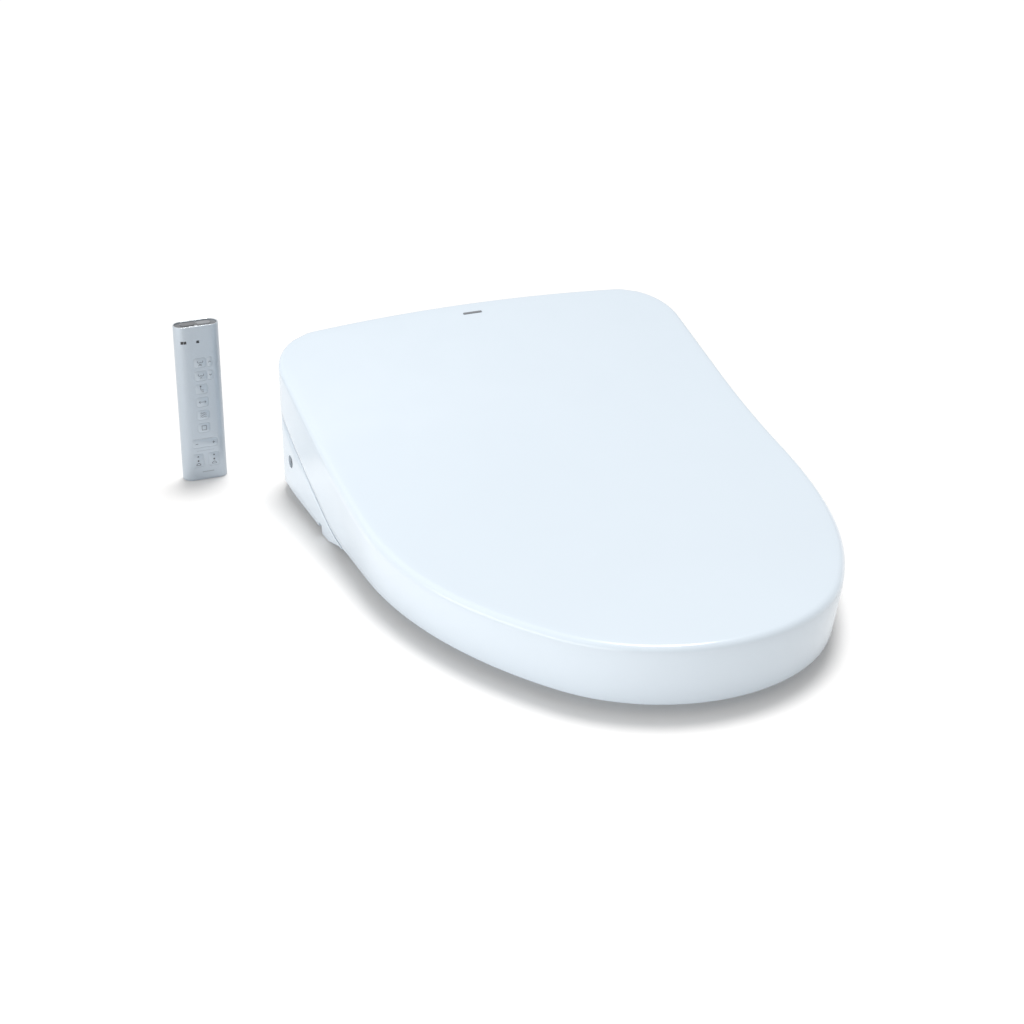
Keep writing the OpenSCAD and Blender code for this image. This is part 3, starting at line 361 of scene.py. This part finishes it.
def build_lid():
    """The dished lid: crowned top, rounded rim, leaning skirt, rolled lower edge, inner wall and ceiling."""
    outer, deep, depth = np.array(outline(0)), np.array(outline(20)), 20.0
    n = len(outer)

    def skirt(t, d, dz=0.0):
        """A ring on the wall: share t of the way down, d in from the outer face and raised by dz."""
        out = []
        for i in range(n):
            x, y = outer[i]
            top = top_z(x, y) - RIM_R
            z = top + (lid_edge_z(y) - top) * t
            px, py = outer[i] + (deep[i] - outer[i]) * (d + lean(y, z)) / depth
            out.append((float(px), float(py), float(z + dz)))
        return out

    verts = [(*LID_CENTRE, top_z(*LID_CENTRE))]
    rim = outline(RIM_R)
    for step in range(1, LID_RINGS):
        verts += [(x, y, top_z(x, y)) for x, y in shrunk(rim, step)]
    for k in range(9):
        a = QUARTER * k / 9
        loop = outline(RIM_R * (1 - math.sin(a)))
        verts += [(x, y, top_z(x, y) - RIM_R * (1 - math.cos(a))) for x, y in loop]
    for t in (0.0, 0.12, 0.3, 0.5, 0.7, 0.88):
        verts += skirt(t, 0.0)
    for d, dz in ((0.0, 1.1), (0.3, 0.32), (1.1, 0.0), (LID_WALL - 1.0, 0.0), (LID_WALL - 0.2, 0.4),
                  (LID_WALL, 1.2)):
        verts += skirt(1.0, d, dz)
    for t in (0.7, 0.4, 0.25):
        verts += skirt(t, LID_WALL)
    for k in range(7):
        a = QUARTER * k / 6
        loop = outline(LID_WALL + CEILING_GAP + CEILING_R * (1 - math.cos(a)))
        verts += [(x, y, top_z(x, y) - LID_WALL - CEILING_R * (1 - math.sin(a))) for x, y in loop]
    inner = outline(LID_WALL + CEILING_GAP + CEILING_R)
    for step in range(LID_RINGS - 1, 0, -1):
        verts += [(x, y, top_z(x, y) - LID_WALL) for x, y in shrunk(inner, step)]
    m = (len(verts) - 1) // n
    verts.append((*LID_CENTRE, top_z(*LID_CENTRE) - LID_WALL))
    last = 1 + (m - 1) * n
    faces = [(0, 1 + i, 1 + (i + 1) % n) for i in range(n)]
    faces += ring_faces(n, m, 1)
    faces += [(len(verts) - 1, last + (i + 1) % n, last + i) for i in range(n)]
    ob = new_mesh("lid_shell_fine", verts, faces)
    by_angle(ob, 50)
    finish_piece(ob, "lid", ["lid_shell"], M["shell_white"])


build_lid()


# ---------------------------------------------------------------- seat, as in the design but finer
SEAT_REAR, SEAT_CORNER = -80.5, 12.0
OPEN_C, OPEN_R = (0.0, -262.0), (106.0, 137.0)
RELIEF_Y, RELIEF_X, RELIEF_FADE = -170, 121, 42
RELIEF = [(RELIEF_Y, SKIRT_Z), (-126, 36), (SEAT_REAR, 42)]


def seat_half(d):
    """Right half of the seat's outer wall, as points with the same count for every d."""
    wall = HALF_W - SEAT_GAP
    xs = [12 * k for k in range(9)] + [107, 117, 127, 134, 138, 142, 148, 155, 162]
    pts = [(x, SEAT_REAR - d) for x in xs]
    pts += arc(wall - SEAT_CORNER, SEAT_REAR - SEAT_CORNER, SEAT_CORNER - d, QUARTER, 0, 12)
    pts += [(wall - d, y) for y in (-97, -103, -110, -118, -125, -132, -139, -149, -160, -172)]
    pts += arc(HALF_W - SHOULDER_R, SHOULDER_Y, SHOULDER_R - SEAT_GAP - d, 0, NOSE_HALF - QUARTER, 30)
    pts += arc(0, NOSE_Y + NOSE_R, NOSE_R - SEAT_GAP - d, NOSE_HALF - QUARTER, -QUARTER, 26)[1:]
    return pts


def smooth(t):
    """A soft step from 0 to 1."""
    t = min(1.0, max(0.0, t))
    return t * t * (3 - 2 * t)


def seat_low(x, y):
    """Lower edge of the seat, with the relief over the wand and the flap, which fades out at the sides."""
    side = max(SKIRT_Z, split_z(y) + 3)
    if y < RELIEF_Y:
        return side
    lift = SKIRT_Z + (lookup(y, RELIEF) - SKIRT_Z) * (1 - smooth((abs(x) - RELIEF_X) / RELIEF_FADE))
    return max(side, lift)


def seat_sections(steps):
    """Rings round the seat's tube. A step is [in from the wall, out from the opening, share, height]:
    share runs from the wall to the opening, and a height below 0 counts down from the deck."""
    outer = closed(seat_half(0))
    moved = {d: closed(seat_half(d)) for d in {step[0] for step in steps}}
    (cx, cy), (rx, ry) = OPEN_C, OPEN_R
    rings = []
    for from_wall, from_opening, share, height in steps:
        ring = []
        for (ox, oy), (px, py) in zip(outer, moved[from_wall]):
            a = math.atan2((oy - cy) / ry, (ox - cx) / rx)
            qx, qy = cx + (rx + from_opening) * math.cos(a), cy + (ry + from_opening) * math.sin(a)
            x, y = px + (qx - px) * share, py + (qy - py) * share
            ring.append((x, y, height + (deck_z(y) if height < 0 else seat_low(x, y))))
        rings.append(ring)
    return rings


def fillet(d0, d1, z0, z1, n, inner=False):
    """Steps of a quarter ellipse: up from the wall to the top, or with inner down into the opening."""
    out = []
    for k in range(n + 1):
        a = QUARTER * k / n
        side, up = (math.sin(a), 1 - math.cos(a)) if inner else (1 - math.cos(a), math.sin(a))
        d, z = d0 + (d1 - d0) * side, z0 + (z1 - z0) * up
        out.append([0, d, 1, z] if inner else [d, 0, 0, z])
    return out


def seat_shell(name, steps, node):
    """A shell of the seat, closed round its tube, from the steps of its section."""
    ob = stack(name, seat_sections(steps), True)
    by_angle(ob, 40)
    finish_piece(ob, "seat", [node], M[slot_of[node]])


def across(shares, heights, d=0.0):
    """Steps from the wall to the opening, at these shares of the way."""
    return [[d, 0, share, z] for share, z in zip(shares, heights)]


SHARES = tuple(k / 16 for k in range(1, 16))
top_steps = [[0.6, 0, 0, 3.2], [0.15, 0, 0, 3.45], [0, 0, 0, 4.2], [0, 0, 0, 9]]
top_steps += fillet(0, 9, -11, -0.2, 8)
top_steps += across((0.08, 0.17, 0.27, 0.37, 0.46, 0.54), (-0.2, -0.2, -0.25, -0.4, -0.65, -1.0), 9)
top_steps += fillet(17, 0, -2.2, -17, 10, True)
top_steps += [[0, 0, 1, -20], [0, 0, 1, 4.2], [0, 0.15, 1, 3.45], [0, 0.6, 1, 3.2]]
top_steps += [[0, 3, 1, 3.2], [0, 3, 1, -18], [0, 12, 1, -8.5], [9, 0, 0.5, -4.6], [9, 0, 0.25, -3.6],
              [9, 0, 0, -3.6], [3, 0, 0, -13], [3, 0, 0, 3.2]]
seat_shell("seat_top_fine", top_steps, "seat_top_shell")
base_steps = [[0.9, 0, 0, 0], [0.45, 0, 0, 0.2], [0.3, 0, 0, 0.8], [0.3, 0, 0, 2.3], [0.6, 0, 0, 2.7]]
base_steps += across(SHARES, [2.7] * len(SHARES))
base_steps += [[0, 0.6, 1, 2.7], [0, 0.3, 1, 2.3], [0, 0.3, 1, 0.8], [0, 0.45, 1, 0.2], [0, 0.9, 1, 0]]
base_steps += across(SHARES[::-1], [0.0] * len(SHARES))
seat_shell("seat_base_fine", base_steps, "seat_base_shell")


# Width of the rounded edge, and the nodes that get it.
WIDTHS = {
    0.7: ("top_cover", "seat_arms", "lid_hinge_lugs", "wand_shield"),
    0.9: ("lid_bumpers", "seat_bumpers", "release_button", "base_plate"),
    0.4: ("front_panel", "housing_feet", "filter_cartridge", "inlet_valve", "drain_plug", "cord_gland",
          "deodorizer_case", "dryer_duct", "nozzle_guide", "power_module", "water_pump"),
    0.25: ("dryer_flap", "spray_wand", "wand_tip", "bolt_bushings", "hinge_shafts", "indicator_lens",
           "sensor_lens", "remote_battery_door", "case_screws", "seat_damper", "lid_damper"),
    0.12: ("lid_badge",),
}
for width, nodes in WIDTHS.items():
    for node in nodes:
        refined(node, width)


# ---------------------------------------------------------------- sides of the housing
CASE_REAR, CASE_FRONT, CASE_WALL, CASE_INSET = 50.0, -75.0, 3.0, 0.5
BUTTON, BUTTON_R = (-5.6, 38.5), 5.4
CARTRIDGE = ((-52.0, -16.0), (17.0, 33.0))
INLET, INLET_R = (16.0, 34.0), 16.0
NOTCH = ((-78.7, -71.7), (-4.0, 9.5))
CUT_X = (205.0, 160.0)


def side_section(side, y):
    """The closed section of a side wall at y: its leaning outer face, and its edges rounded by r."""
    lo, hi = lookup(y, FOOT), case_edge_z(y)
    wall = CASE_WALL if y < CASE_REAR - 1 else CASE_WALL + 1
    r = min(0.8, (hi - lo) * 0.3)
    steps = [(r * 0.3, lo + r * 0.3), (0.0, lo + r)]
    steps += [(0.0, lo + r + (hi - lo - 2 * r) * k / 5) for k in range(1, 6)]
    steps += [(r * 0.3, hi - r * 0.3), (r, hi), (wall - r * 0.6, hi), (wall, hi - r * 0.6)]
    steps += [(wall, lo + r * 0.6), (wall - r * 0.6, lo), (r, lo)]
    return [(side * (wall_x(y, lean(y, z) + CASE_INSET) - d), y, z) for d, z in steps]


def case_side(side):
    """One side wall as a fine closed mesh, leaning like the lid's skirt, with its openings cut."""
    ys = [-124.5, -123.6, -122, -118, -114, -110, -105, -100, -97, -93, -88, -84, -79, -78.9, -74, -68, -62,
          -55, -47, -39, -29, -19, -10, 0, CORNER_Y]
    last = math.asin((CASE_REAR - CORNER_Y) / CORNER_R)
    hook = [math.asin((y - CORNER_Y) / CORNER_R) for y in (HOOK_Y - 0.01, HOOK_Y + 0.01)]
    angles = sorted([last * k / 14 for k in range(1, 15)] + hook)
    ys += [CORNER_Y + CORNER_R * math.sin(a) for a in angles]
    ob = stack("case_side_" + ("right" if side > 0 else "left"), [side_section(side, y) for y in ys])

    def tool(name, loop):
        return stack(name, [[(side * x, y, z) for y, z in loop] for x in CUT_X])

    def block(name, spans, spare, r):
        (y0, y1), (z0, z1) = spans
        loop = rounded(y1 - y0 + 2 * spare, z1 - z0 + 2 * spare, r, 4)
        return tool(name, [((y0 + y1) / 2 + y, (z0 + z1) / 2 + z) for y, z in loop])

    tools = [block("tool_notch", NOTCH, 0.0, 1.5)]
    if side < 0:
        tools.append(tool("tool_button", round_loop(*BUTTON, BUTTON_R + 0.3)))
    else:
        tools.append(block("tool_door", CARTRIDGE, 0.4, 0.5))
        tools.append(tool("tool_inlet", round_loop(*INLET, INLET_R)))
    cut(ob, tools)
    by_angle(ob, 30)
    finish_case(ob)


def finish_case(ob):
    finish_piece(ob, "housing", ["lower_case"], M[slot_of["lower_case"]])


FLOOR_Z, REAR_TOP, BAY_FLOOR, BAY_X = (12.0, 15.0), 112.0, 70.0, (102.5, 152.0)
REAR_HOLES, REAR_HOLE_Z = ((120.0, 7.5), (80.0, 9.3)), 30.0


def case_tub():
    """The floor and the rear wall of the housing, with the hinge bays, gland and plug openings."""
    ys = (CASE_FRONT + 0.2, -60, -40, -20, 0, CORNER_Y, 17, 25, 32, 38, 43, 47.5)
    loop = [(wall_x(y, 6.0), y) for y in ys]
    loop += [(-x, y) for x, y in loop[::-1]]
    floor_ob = stack("case_floor", [[(x, y, z) for x, y in loop] for z in FLOOR_Z])
    by_angle(floor_ob, 30)
    finish_case(floor_ob)
    half = wall_x(CASE_REAR, CASE_INSET) - 2.2
    loop = [(half, REAR_LOW), (half, SHOULDER_TOP)]
    for k in range(1, 6):
        a = QUARTER * k / 6
        z = SHOULDER_TOP + (REAR_TOP - SHOULDER_TOP) * math.sin(a)
        loop.append((half - 2 - 6 * (1 - math.cos(a)), z))
    loop += [(BAY_X[1], REAR_TOP), (BAY_X[1], BAY_FLOOR), (BAY_X[0], BAY_FLOOR), (BAY_X[0], REAR_TOP)]
    loop = [(-half, REAR_LOW)] + loop + [(-x, z) for x, z in loop[:0:-1]]
    rear = stack("case_rear", [[(x, y, z) for x, z in loop] for y in (CASE_REAR - CASE_WALL, CASE_REAR)])
    holes = [round_loop(x, REAR_HOLE_Z, r) for x, r in REAR_HOLES]
    cut(rear, [stack("tool_gland", [[(x, y, z) for x, z in hole] for y in (40.0, 60.0)]) for hole in holes])
    bevelled(rear, 0.5, 35)
    applied(rear)
    by_angle(rear, 35)
    finish_case(rear)


case_side(-1)
case_side(1)
case_tub()


# ---------------------------------------------------------------- handset
REMOTE = (-246.0, 78.0)
REMOTE_W, END_R, REMOTE_TOP = 40.0, 8.5, 145.3
FLAT_U, FACE_Y = REMOTE_W / 2 - END_R, -END_R


def oval(half, r, n=14):
    """A stadium round the handset's axis: half is half the straight part, r the end radius."""
    pts = arc(half, 0, r, -QUARTER, QUARTER, n) + arc(-half, 0, r, QUARTER, 3 * QUARTER, n)
    straight = [half * (1 - 2 * k / 6) for k in range(1, 6)]
    return pts[:n + 1] + [(x, r) for x in straight] + pts[n + 1:] + [(-x, -r) for x in straight]


def on_remote(ring, z):
    return [(REMOTE[0] + x, REMOTE[1] + y, z) for x, y in ring]


def key_prism(name, x, z, w, h, r, y0, y1, soft=0.0):
    """A rounded key standing on the face, from depth y0 to y1 (towards -Y)."""
    rings = [[(REMOTE[0] + x + a, REMOTE[1] + y0, z + b) for a, b in rounded(w, h, r)]]
    for d, dy in ((0.0, soft), (soft * 0.3, soft * 0.3), (soft, 0.0)) if soft else ((0.0, 0.0),):
        rings.append([(REMOTE[0] + x + a, REMOTE[1] + y1 + dy, z + b)
                      for a, b in rounded(w - 2 * d, h - 2 * d, max(0.2, r - d))])
    return stack(name, rings)


# Keys on the face: places as (across from the middle, height), sizes as (width, height).
KEY_U, KEY_TOP, PITCH, KEY_SIZE = 0.0, 111.3, 12.3, (10.4, 8.6)
SIDE_U, SIDE_SIZE = 8.6, (4.4, 8.6)
ROCKER_Z, ROCKER_SIZE = 35.0, (22.0, 7.4)
USER_U, USER_Z, USER_SIZE = 7.2, 18.8, (9.6, 12.6)
COLUMN = ("key_rear", "key_rear_soft", "key_front", "key_oscillate", "key_dry", "key_stop")
KEYS = {name: (KEY_U, KEY_TOP - row * PITCH, *KEY_SIZE) for row, name in enumerate(COLUMN)}
KEYS["key_up"] = (SIDE_U, KEY_TOP, *SIDE_SIZE)
KEYS["key_down"] = (SIDE_U, KEY_TOP - PITCH, *SIDE_SIZE)
KEYS["key_rocker"] = (0.0, ROCKER_Z, *ROCKER_SIZE)
KEYS["key_user_1"] = (-USER_U, USER_Z, *USER_SIZE)
KEYS["key_user_2"] = (USER_U, USER_Z, *USER_SIZE)
CAP_KEY_U, CAP_KEY_SIZE, CAP_KEY_R = 7.2, (12.3, 7.3), 3.3
DOOR_Z, DOOR_SIZE = 45.0, (21.8, 66.8)
silver = M["handset_silver"]
# The trim ring's light silver is a painted highlight along the handset's rim, not a lighter finish of its
# own.
rim_highlight_mat = plastic("handset_trim_painted_highlight", (0.74, 0.78, 0.82), 0.25, 0.01, 0.04, 2200, metallic=0.4)
cap_key_mat = {-1: plastic("cap_key_dark", (0.17, 0.175, 0.185), 0.35, 0.03, 0.08, 2200, coat=0.2),
               1: plastic("cap_key_light", (0.27, 0.28, 0.295), 0.3, 0.03, 0.06, 2200, coat=0.3)}


def oval_ring(inset, z):
    """The handset's outline, moved in by inset, at height z."""
    return on_remote(oval(FLAT_U, END_R - inset), z)


def remote_body():
    """The handset's silver tube with rounded foot and rim, hollow from the top, with its openings."""
    foot, rim = 0.9, 0.35
    rings = []
    for k in range(5):
        a = QUARTER * k / 4
        rings.append(oval_ring(foot * (1 - math.sin(a)), foot * (1 - math.cos(a))))
    rings += [oval_ring(0.0, z) for z in (3, 30, 60, 90, 120, REMOTE_TOP - 0.5)]
    for k in range(1, 4):
        a = QUARTER * k / 3
        rings.append(oval_ring(rim * (1 - math.cos(a)), REMOTE_TOP - rim * (1 - math.sin(a))))
    hollow = ((0.9, REMOTE_TOP), (1.0, REMOTE_TOP - 0.12), (1.0, 139.8), (1.8, 139.7), (1.8, 2.5))
    rings += [oval_ring(inset, z) for inset, z in hollow]
    ob = stack("remote_body_fine", rings)
    tools = [key_prism("tool_" + name, x, z, w + 0.5, h + 0.5, 2.1, -4.0, -11.0)
             for name, (x, z, w, h) in KEYS.items()]
    door = rounded(*DOOR_SIZE, 0.4, 3)
    tools.append(stack("tool_door", [[(REMOTE[0] + a, REMOTE[1] + y, DOOR_Z + b) for a, b in door]
                                     for y in (11.0, 4.0)]))
    cut(ob, tools)
    by_angle(ob, 32)
    finish_piece(ob, "remote", ["remote_body"], silver)


def face_keys():
    for name, (x, z, w, h) in KEYS.items():
        ob = key_prism(name + "_fine", x, z, w + 0.36, h + 0.36, 2.0, FACE_Y + 3.1, FACE_Y, 0.1)
        by_angle(ob, 32)
        finish_piece(ob, body_of[name], [name], silver)


def cap_loop(side, grow, z):
    """The outline of a key in the cap, grown by grow on each side, at height z."""
    w, h = CAP_KEY_SIZE
    loop = rounded(w + 2 * grow, h + 2 * grow, CAP_KEY_R + grow)
    return on_remote([(a + CAP_KEY_U * side, b) for a, b in loop], z)


def remote_cap():
    """The dark cap in the rim, with its two keys, and a ring round it that is coloured lighter than the
    handset as a painted highlight.
    """
    cap = stack("remote_cap_fine", [oval_ring(1.1, 140.2), oval_ring(1.1, 144.5), oval_ring(1.3, 144.6)])
    cut(cap, [stack("tool_cap", [cap_loop(side, 0.1, z) for z in (139, 147)]) for side in (-1, 1)])
    by_angle(cap, 32)
    finish_piece(cap, "remote", ["remote_top_cap"], M[slot_of["remote_top_cap"]])
    for side, name in ((-1, "key_lid"), (1, "key_seat")):
        levels = ((138.3, 0.0), (145.1, 0.0), (145.3, 0.12), (145.4, 0.4))
        ob = stack(name + "_fine", [cap_loop(side, -d, z) for z, d in levels])
        by_angle(ob, 32)
        finish_piece(ob, body_of[name], [name], cap_key_mat[side])
    section = ((1.0, 144.55), (0.95, 145.2), (0.8, 145.4), (0.5, 145.45), (0.2, 145.35), (0.1, 145.1),
               (0.25, 144.55))
    # A real ring on the rim, whose lighter colour is a painted highlight.
    trim = stack("remote_trim_painted_highlight", [oval_ring(inset, z) for inset, z in section], True)
    by_angle(trim, 60)
    finish_piece(trim, "remote", (), rim_highlight_mat)


remote_body()
face_keys()
remote_cap()


# ---------------------------------------------------------------- print and windows on the handset
def face_point(u, z, out):
    """A point on the handset's face: u runs round it from the middle, out is the height above it."""
    if abs(u) <= FLAT_U:
        return REMOTE[0] + u, REMOTE[1] + FACE_Y - out, z
    a = (abs(u) - FLAT_U) / END_R
    x = FLAT_U + (END_R + out) * math.sin(a)
    return REMOTE[0] + math.copysign(x, u), REMOTE[1] - (END_R + out) * math.cos(a), z


def plate(strips, name, body, mat, out=0.05, under=0.05):
    """Thin closed tiles on the handset's face. Each strip is a left and a right edge of (u, z) points."""
    verts, faces = [], []
    for left, right in strips:
        b, n = len(verts), len(left)
        for o in (out, -under):
            verts += [face_point(u, z, o) for u, z in left] + [face_point(u, z, o) for u, z in right]
        for k in range(n - 1):
            faces.append((b + k, b + k + 1, b + n + k + 1, b + n + k))
            faces.append((b + 2 * n + k, b + 3 * n + k, b + 3 * n + k + 1, b + 2 * n + k + 1))
            faces.append((b + k, b + 2 * n + k, b + 2 * n + k + 1, b + k + 1))
            faces.append((b + n + k, b + n + k + 1, b + 3 * n + k + 1, b + 3 * n + k))
        faces.append((b, b + n, b + 3 * n, b + 2 * n))
        faces.append((b + n - 1, b + 3 * n - 1, b + 4 * n - 1, b + 2 * n - 1))
    ob = new_mesh(name, verts, faces, smooth=False)
    finish_piece(ob, body, (), mat)


def ribbon(points, w=0.42):
    """The two edges of a stroke of width w along the points."""
    left, right = [], []
    for k, (u, z) in enumerate(points):
        a, b = points[max(0, k - 1)], points[min(len(points) - 1, k + 1)]
        du, dz = b[0] - a[0], b[1] - a[1]
        d = math.hypot(du, dz) or 1.0
        left.append((u - dz / d * w / 2, z + du / d * w / 2))
        right.append((u + dz / d * w / 2, z - du / d * w / 2))
    return left, right


def bow(u, z, r, a0, a1):
    return arc(u, z, r, math.radians(a0), math.radians(a1), 12)


def bar(u, z, w, h):
    """The edges of a bar round (u, z)."""
    return [(u - w / 2, z - h / 2), (u - w / 2, z + h / 2)], [(u + w / 2, z - h / 2), (u + w / 2, z + h / 2)]


def dot(u, z, r):
    """The edges of a round spot."""
    a = [math.radians(90 - 180 * k / 8) for k in range(9)]
    return ([(u - r * math.cos(t) * 0.999 - 0.001, z + r * math.sin(t)) for t in a],
            [(u + r * math.cos(t) * 0.999 + 0.001, z + r * math.sin(t)) for t in a])


def peak(u, z, w, h):
    """The edges of a small triangle standing on (u, z)."""
    return [(u - w / 2, z), (u - 0.01, z + h)], [(u + w / 2, z), (u + 0.01, z + h)]


ink = plastic("handset_ink", (0.085, 0.09, 0.105), 0.45, 0.05, 0.05, 1800)
faint = plastic("handset_line", (0.30, 0.335, 0.37), 0.45, 0.03, 0.05, 1800)


def seat_mark(row, spray):
    """A sitting shape over jets of spray, each jet a distance from the middle and a width."""
    z = KEY_TOP - row * PITCH
    marks = [ribbon(bow(-1.1, z + 1.2, 1.25, 150, 330)), ribbon(bow(1.3, z + 1.2, 1.25, 210, 390))]
    return marks + [ribbon([(x, z - 2.9), (x * 0.35, z - 1.0)], w) for x, w in spray]


def front_mark(row):
    z = KEY_TOP - row * PITCH
    return [dot(-0.9, z + 2.6, 0.75), ribbon([(-0.9, z + 1.6), (-1.0, z - 0.7), (1.7, z - 0.9)]),
            ribbon([(0.2, z - 3.0), (0.2, z - 1.7)], 0.35), ribbon([(1.3, z - 3.0), (1.1, z - 1.7)], 0.35)]


def arrows_mark(row):
    z = KEY_TOP - row * PITCH
    tips = [ribbon([(1.9 * s, z + 1.2 * t), (3.1 * s, z)], 0.35) for s in (-1, 1) for t in (1, -1)]
    return [ribbon([(-2.9, z), (2.9, z)], 0.35)] + tips


def waves_mark(row):
    z = KEY_TOP - row * PITCH
    return [ribbon([(0.45 * k - 2.7, z + h + 0.45 * math.sin(k * 1.05)) for k in range(13)], 0.35)
            for h in (-1.7, 0.0, 1.7)]


def square_mark(row):
    z = KEY_TOP - row * PITCH
    return ([ribbon([(x, z - 2), (x, z + 2)]) for x in (-2, 2)]
            + [ribbon([(-2.2, z + y), (2.2, z + y)]) for y in (-2, 2)])


def tick_mark(row, turn):
    """Two strokes that meet in a point, up with turn 1 and down with turn -1."""
    z = KEY_TOP - row * PITCH + 0.1
    return [ribbon([(SIDE_U + 1.1 * s, z - 0.6 * turn), (SIDE_U, z + 0.6 * turn)], 0.4) for s in (-1, 1)]


def person_mark(u):
    z = USER_Z
    return [dot(u, z - 0.1, 0.85), ribbon(bow(u, z - 4.4, 1.9, 0, 180), 0.45),
            ribbon([(u - 1.9, z - 4.4), (u + 1.9, z - 4.4)], 0.35), peak(u, z + 3.4, 2.0, 1.6)]


ICONS = {
    "key_rear": seat_mark(0, [(-1.5, 0.4), (0.0, 0.4), (1.5, 0.4)]),
    "key_rear_soft": seat_mark(1, [(-0.9, 0.25), (0.9, 0.25)]),
    "key_front": front_mark(2),
    "key_oscillate": arrows_mark(3),
    "key_dry": waves_mark(4),
    "key_stop": square_mark(5),
    "key_up": tick_mark(0, 1),
    "key_down": tick_mark(1, -1),
    "key_rocker": [bar(-7.6, ROCKER_Z, 2.4, 0.45), bar(7.6, ROCKER_Z, 2.4, 0.45),
                   bar(7.6, ROCKER_Z, 0.45, 2.4)],
    "key_user_1": person_mark(-USER_U),
    "key_user_2": person_mark(USER_U),
}
for node, strips in ICONS.items():
    plate(strips, "mark_" + node, body_of[node], ink)
lines = [bar(-2, 39.6, 18, 0.22), bar(0, 28.2, 16, 0.22), bar(1.2, 7.6, 10.5, 0.8)]
plate(lines, "remote_lines", "remote", faint)
WINDOW_Z = (130.2, 132.7)
windows = [tuple([(start + 0.6 * k, z) for k in range(5)] for z in WINDOW_Z) for start in (-16.0, -13.35)]
plate(windows, "remote_windows", "remote", M["dark_lens"], 0.08)
plate([bar(-0.8, 131.0, 2.5, 2.4)], "remote_lamp", "remote", M["dark_lens"], 0.08)

# ---------------------------------------------------------------- floor, light, camera
bpy.ops.mesh.primitive_circle_add(vertices=96, radius=40, fill_type="NGON", location=(0, 0, -0.0003))
floor = bpy.context.object
floor.name = "floor"
paper = bpy.data.materials.new("floor_paper")
paper.use_nodes = True
paper_inputs = paper.node_tree.nodes["Principled BSDF"].inputs
paper_inputs["Base Color"].default_value = (0.79, 0.78, 0.77, 1)
paper_inputs["Roughness"].default_value = 0.9
paper_inputs["Emission Color"].default_value = (1, 1, 1, 1)
paper_inputs["Emission Strength"].default_value = 0.08
paper_inputs["Specular IOR Level"].default_value = 0.0
floor.data.materials.append(paper)

world = bpy.data.worlds.new("studio")
bpy.context.scene.world = world
world.use_nodes = True
world.node_tree.nodes["Background"].inputs["Color"].default_value = (1, 1, 1, 1)
world.node_tree.nodes["Background"].inputs["Strength"].default_value = 0.5


def lamp(name, kind, power, direction):
    """A light that shines along direction."""
    light = bpy.data.lights.new(name, kind)
    light.energy = power
    ob = bpy.data.objects.new(name, light)
    bpy.context.scene.collection.objects.link(ob)
    ob.rotation_mode = "QUATERNION"
    ob.rotation_quaternion = Vector(direction).to_track_quat("-Z", "Y")
    return ob


key = lamp("key", "SUN", 2.25, (-0.14, -0.2, -1.0))
key.data.angle = math.radians(20)
CARD_AT, CARD_TARGET = Vector((-2.3, -0.75, 0.45)), Vector((0, -0.2, 0.05))
card = lamp("left_card", "AREA", 29.0, CARD_TARGET - CARD_AT)
card.location = CARD_AT
card.data.shape = "RECTANGLE"
card.data.size, card.data.size_y = 3.4, 0.85

# The photo's camera, fitted to the outline in the photo: lens and sensor in millimetres, place in metres.
LENS, SENSOR = 73.07, 36.0
CAMERA_AT = (-0.654119, -1.595275, 0.776730)
CAMERA_RIGHT, CAMERA_UP = (0.92154, -0.38827, 0.00293), (0.16497, 0.39835, 0.90228)
cam = bpy.data.cameras.new("camera")
cam.lens, cam.sensor_width = LENS, SENSOR
cam.clip_start, cam.clip_end = 0.05, 100
camera = bpy.data.objects.new("camera", cam)
bpy.context.scene.collection.objects.link(camera)
right = Vector(CAMERA_RIGHT).normalized()
back = right.cross(Vector(CAMERA_UP)).normalized()
camera.rotation_mode = "QUATERNION"
camera.rotation_quaternion = Matrix((right, back.cross(right), back)).transposed().to_quaternion()
camera.location = CAMERA_AT
bpy.context.scene.camera = camera
bpy.context.scene.view_settings.view_transform = "Standard"
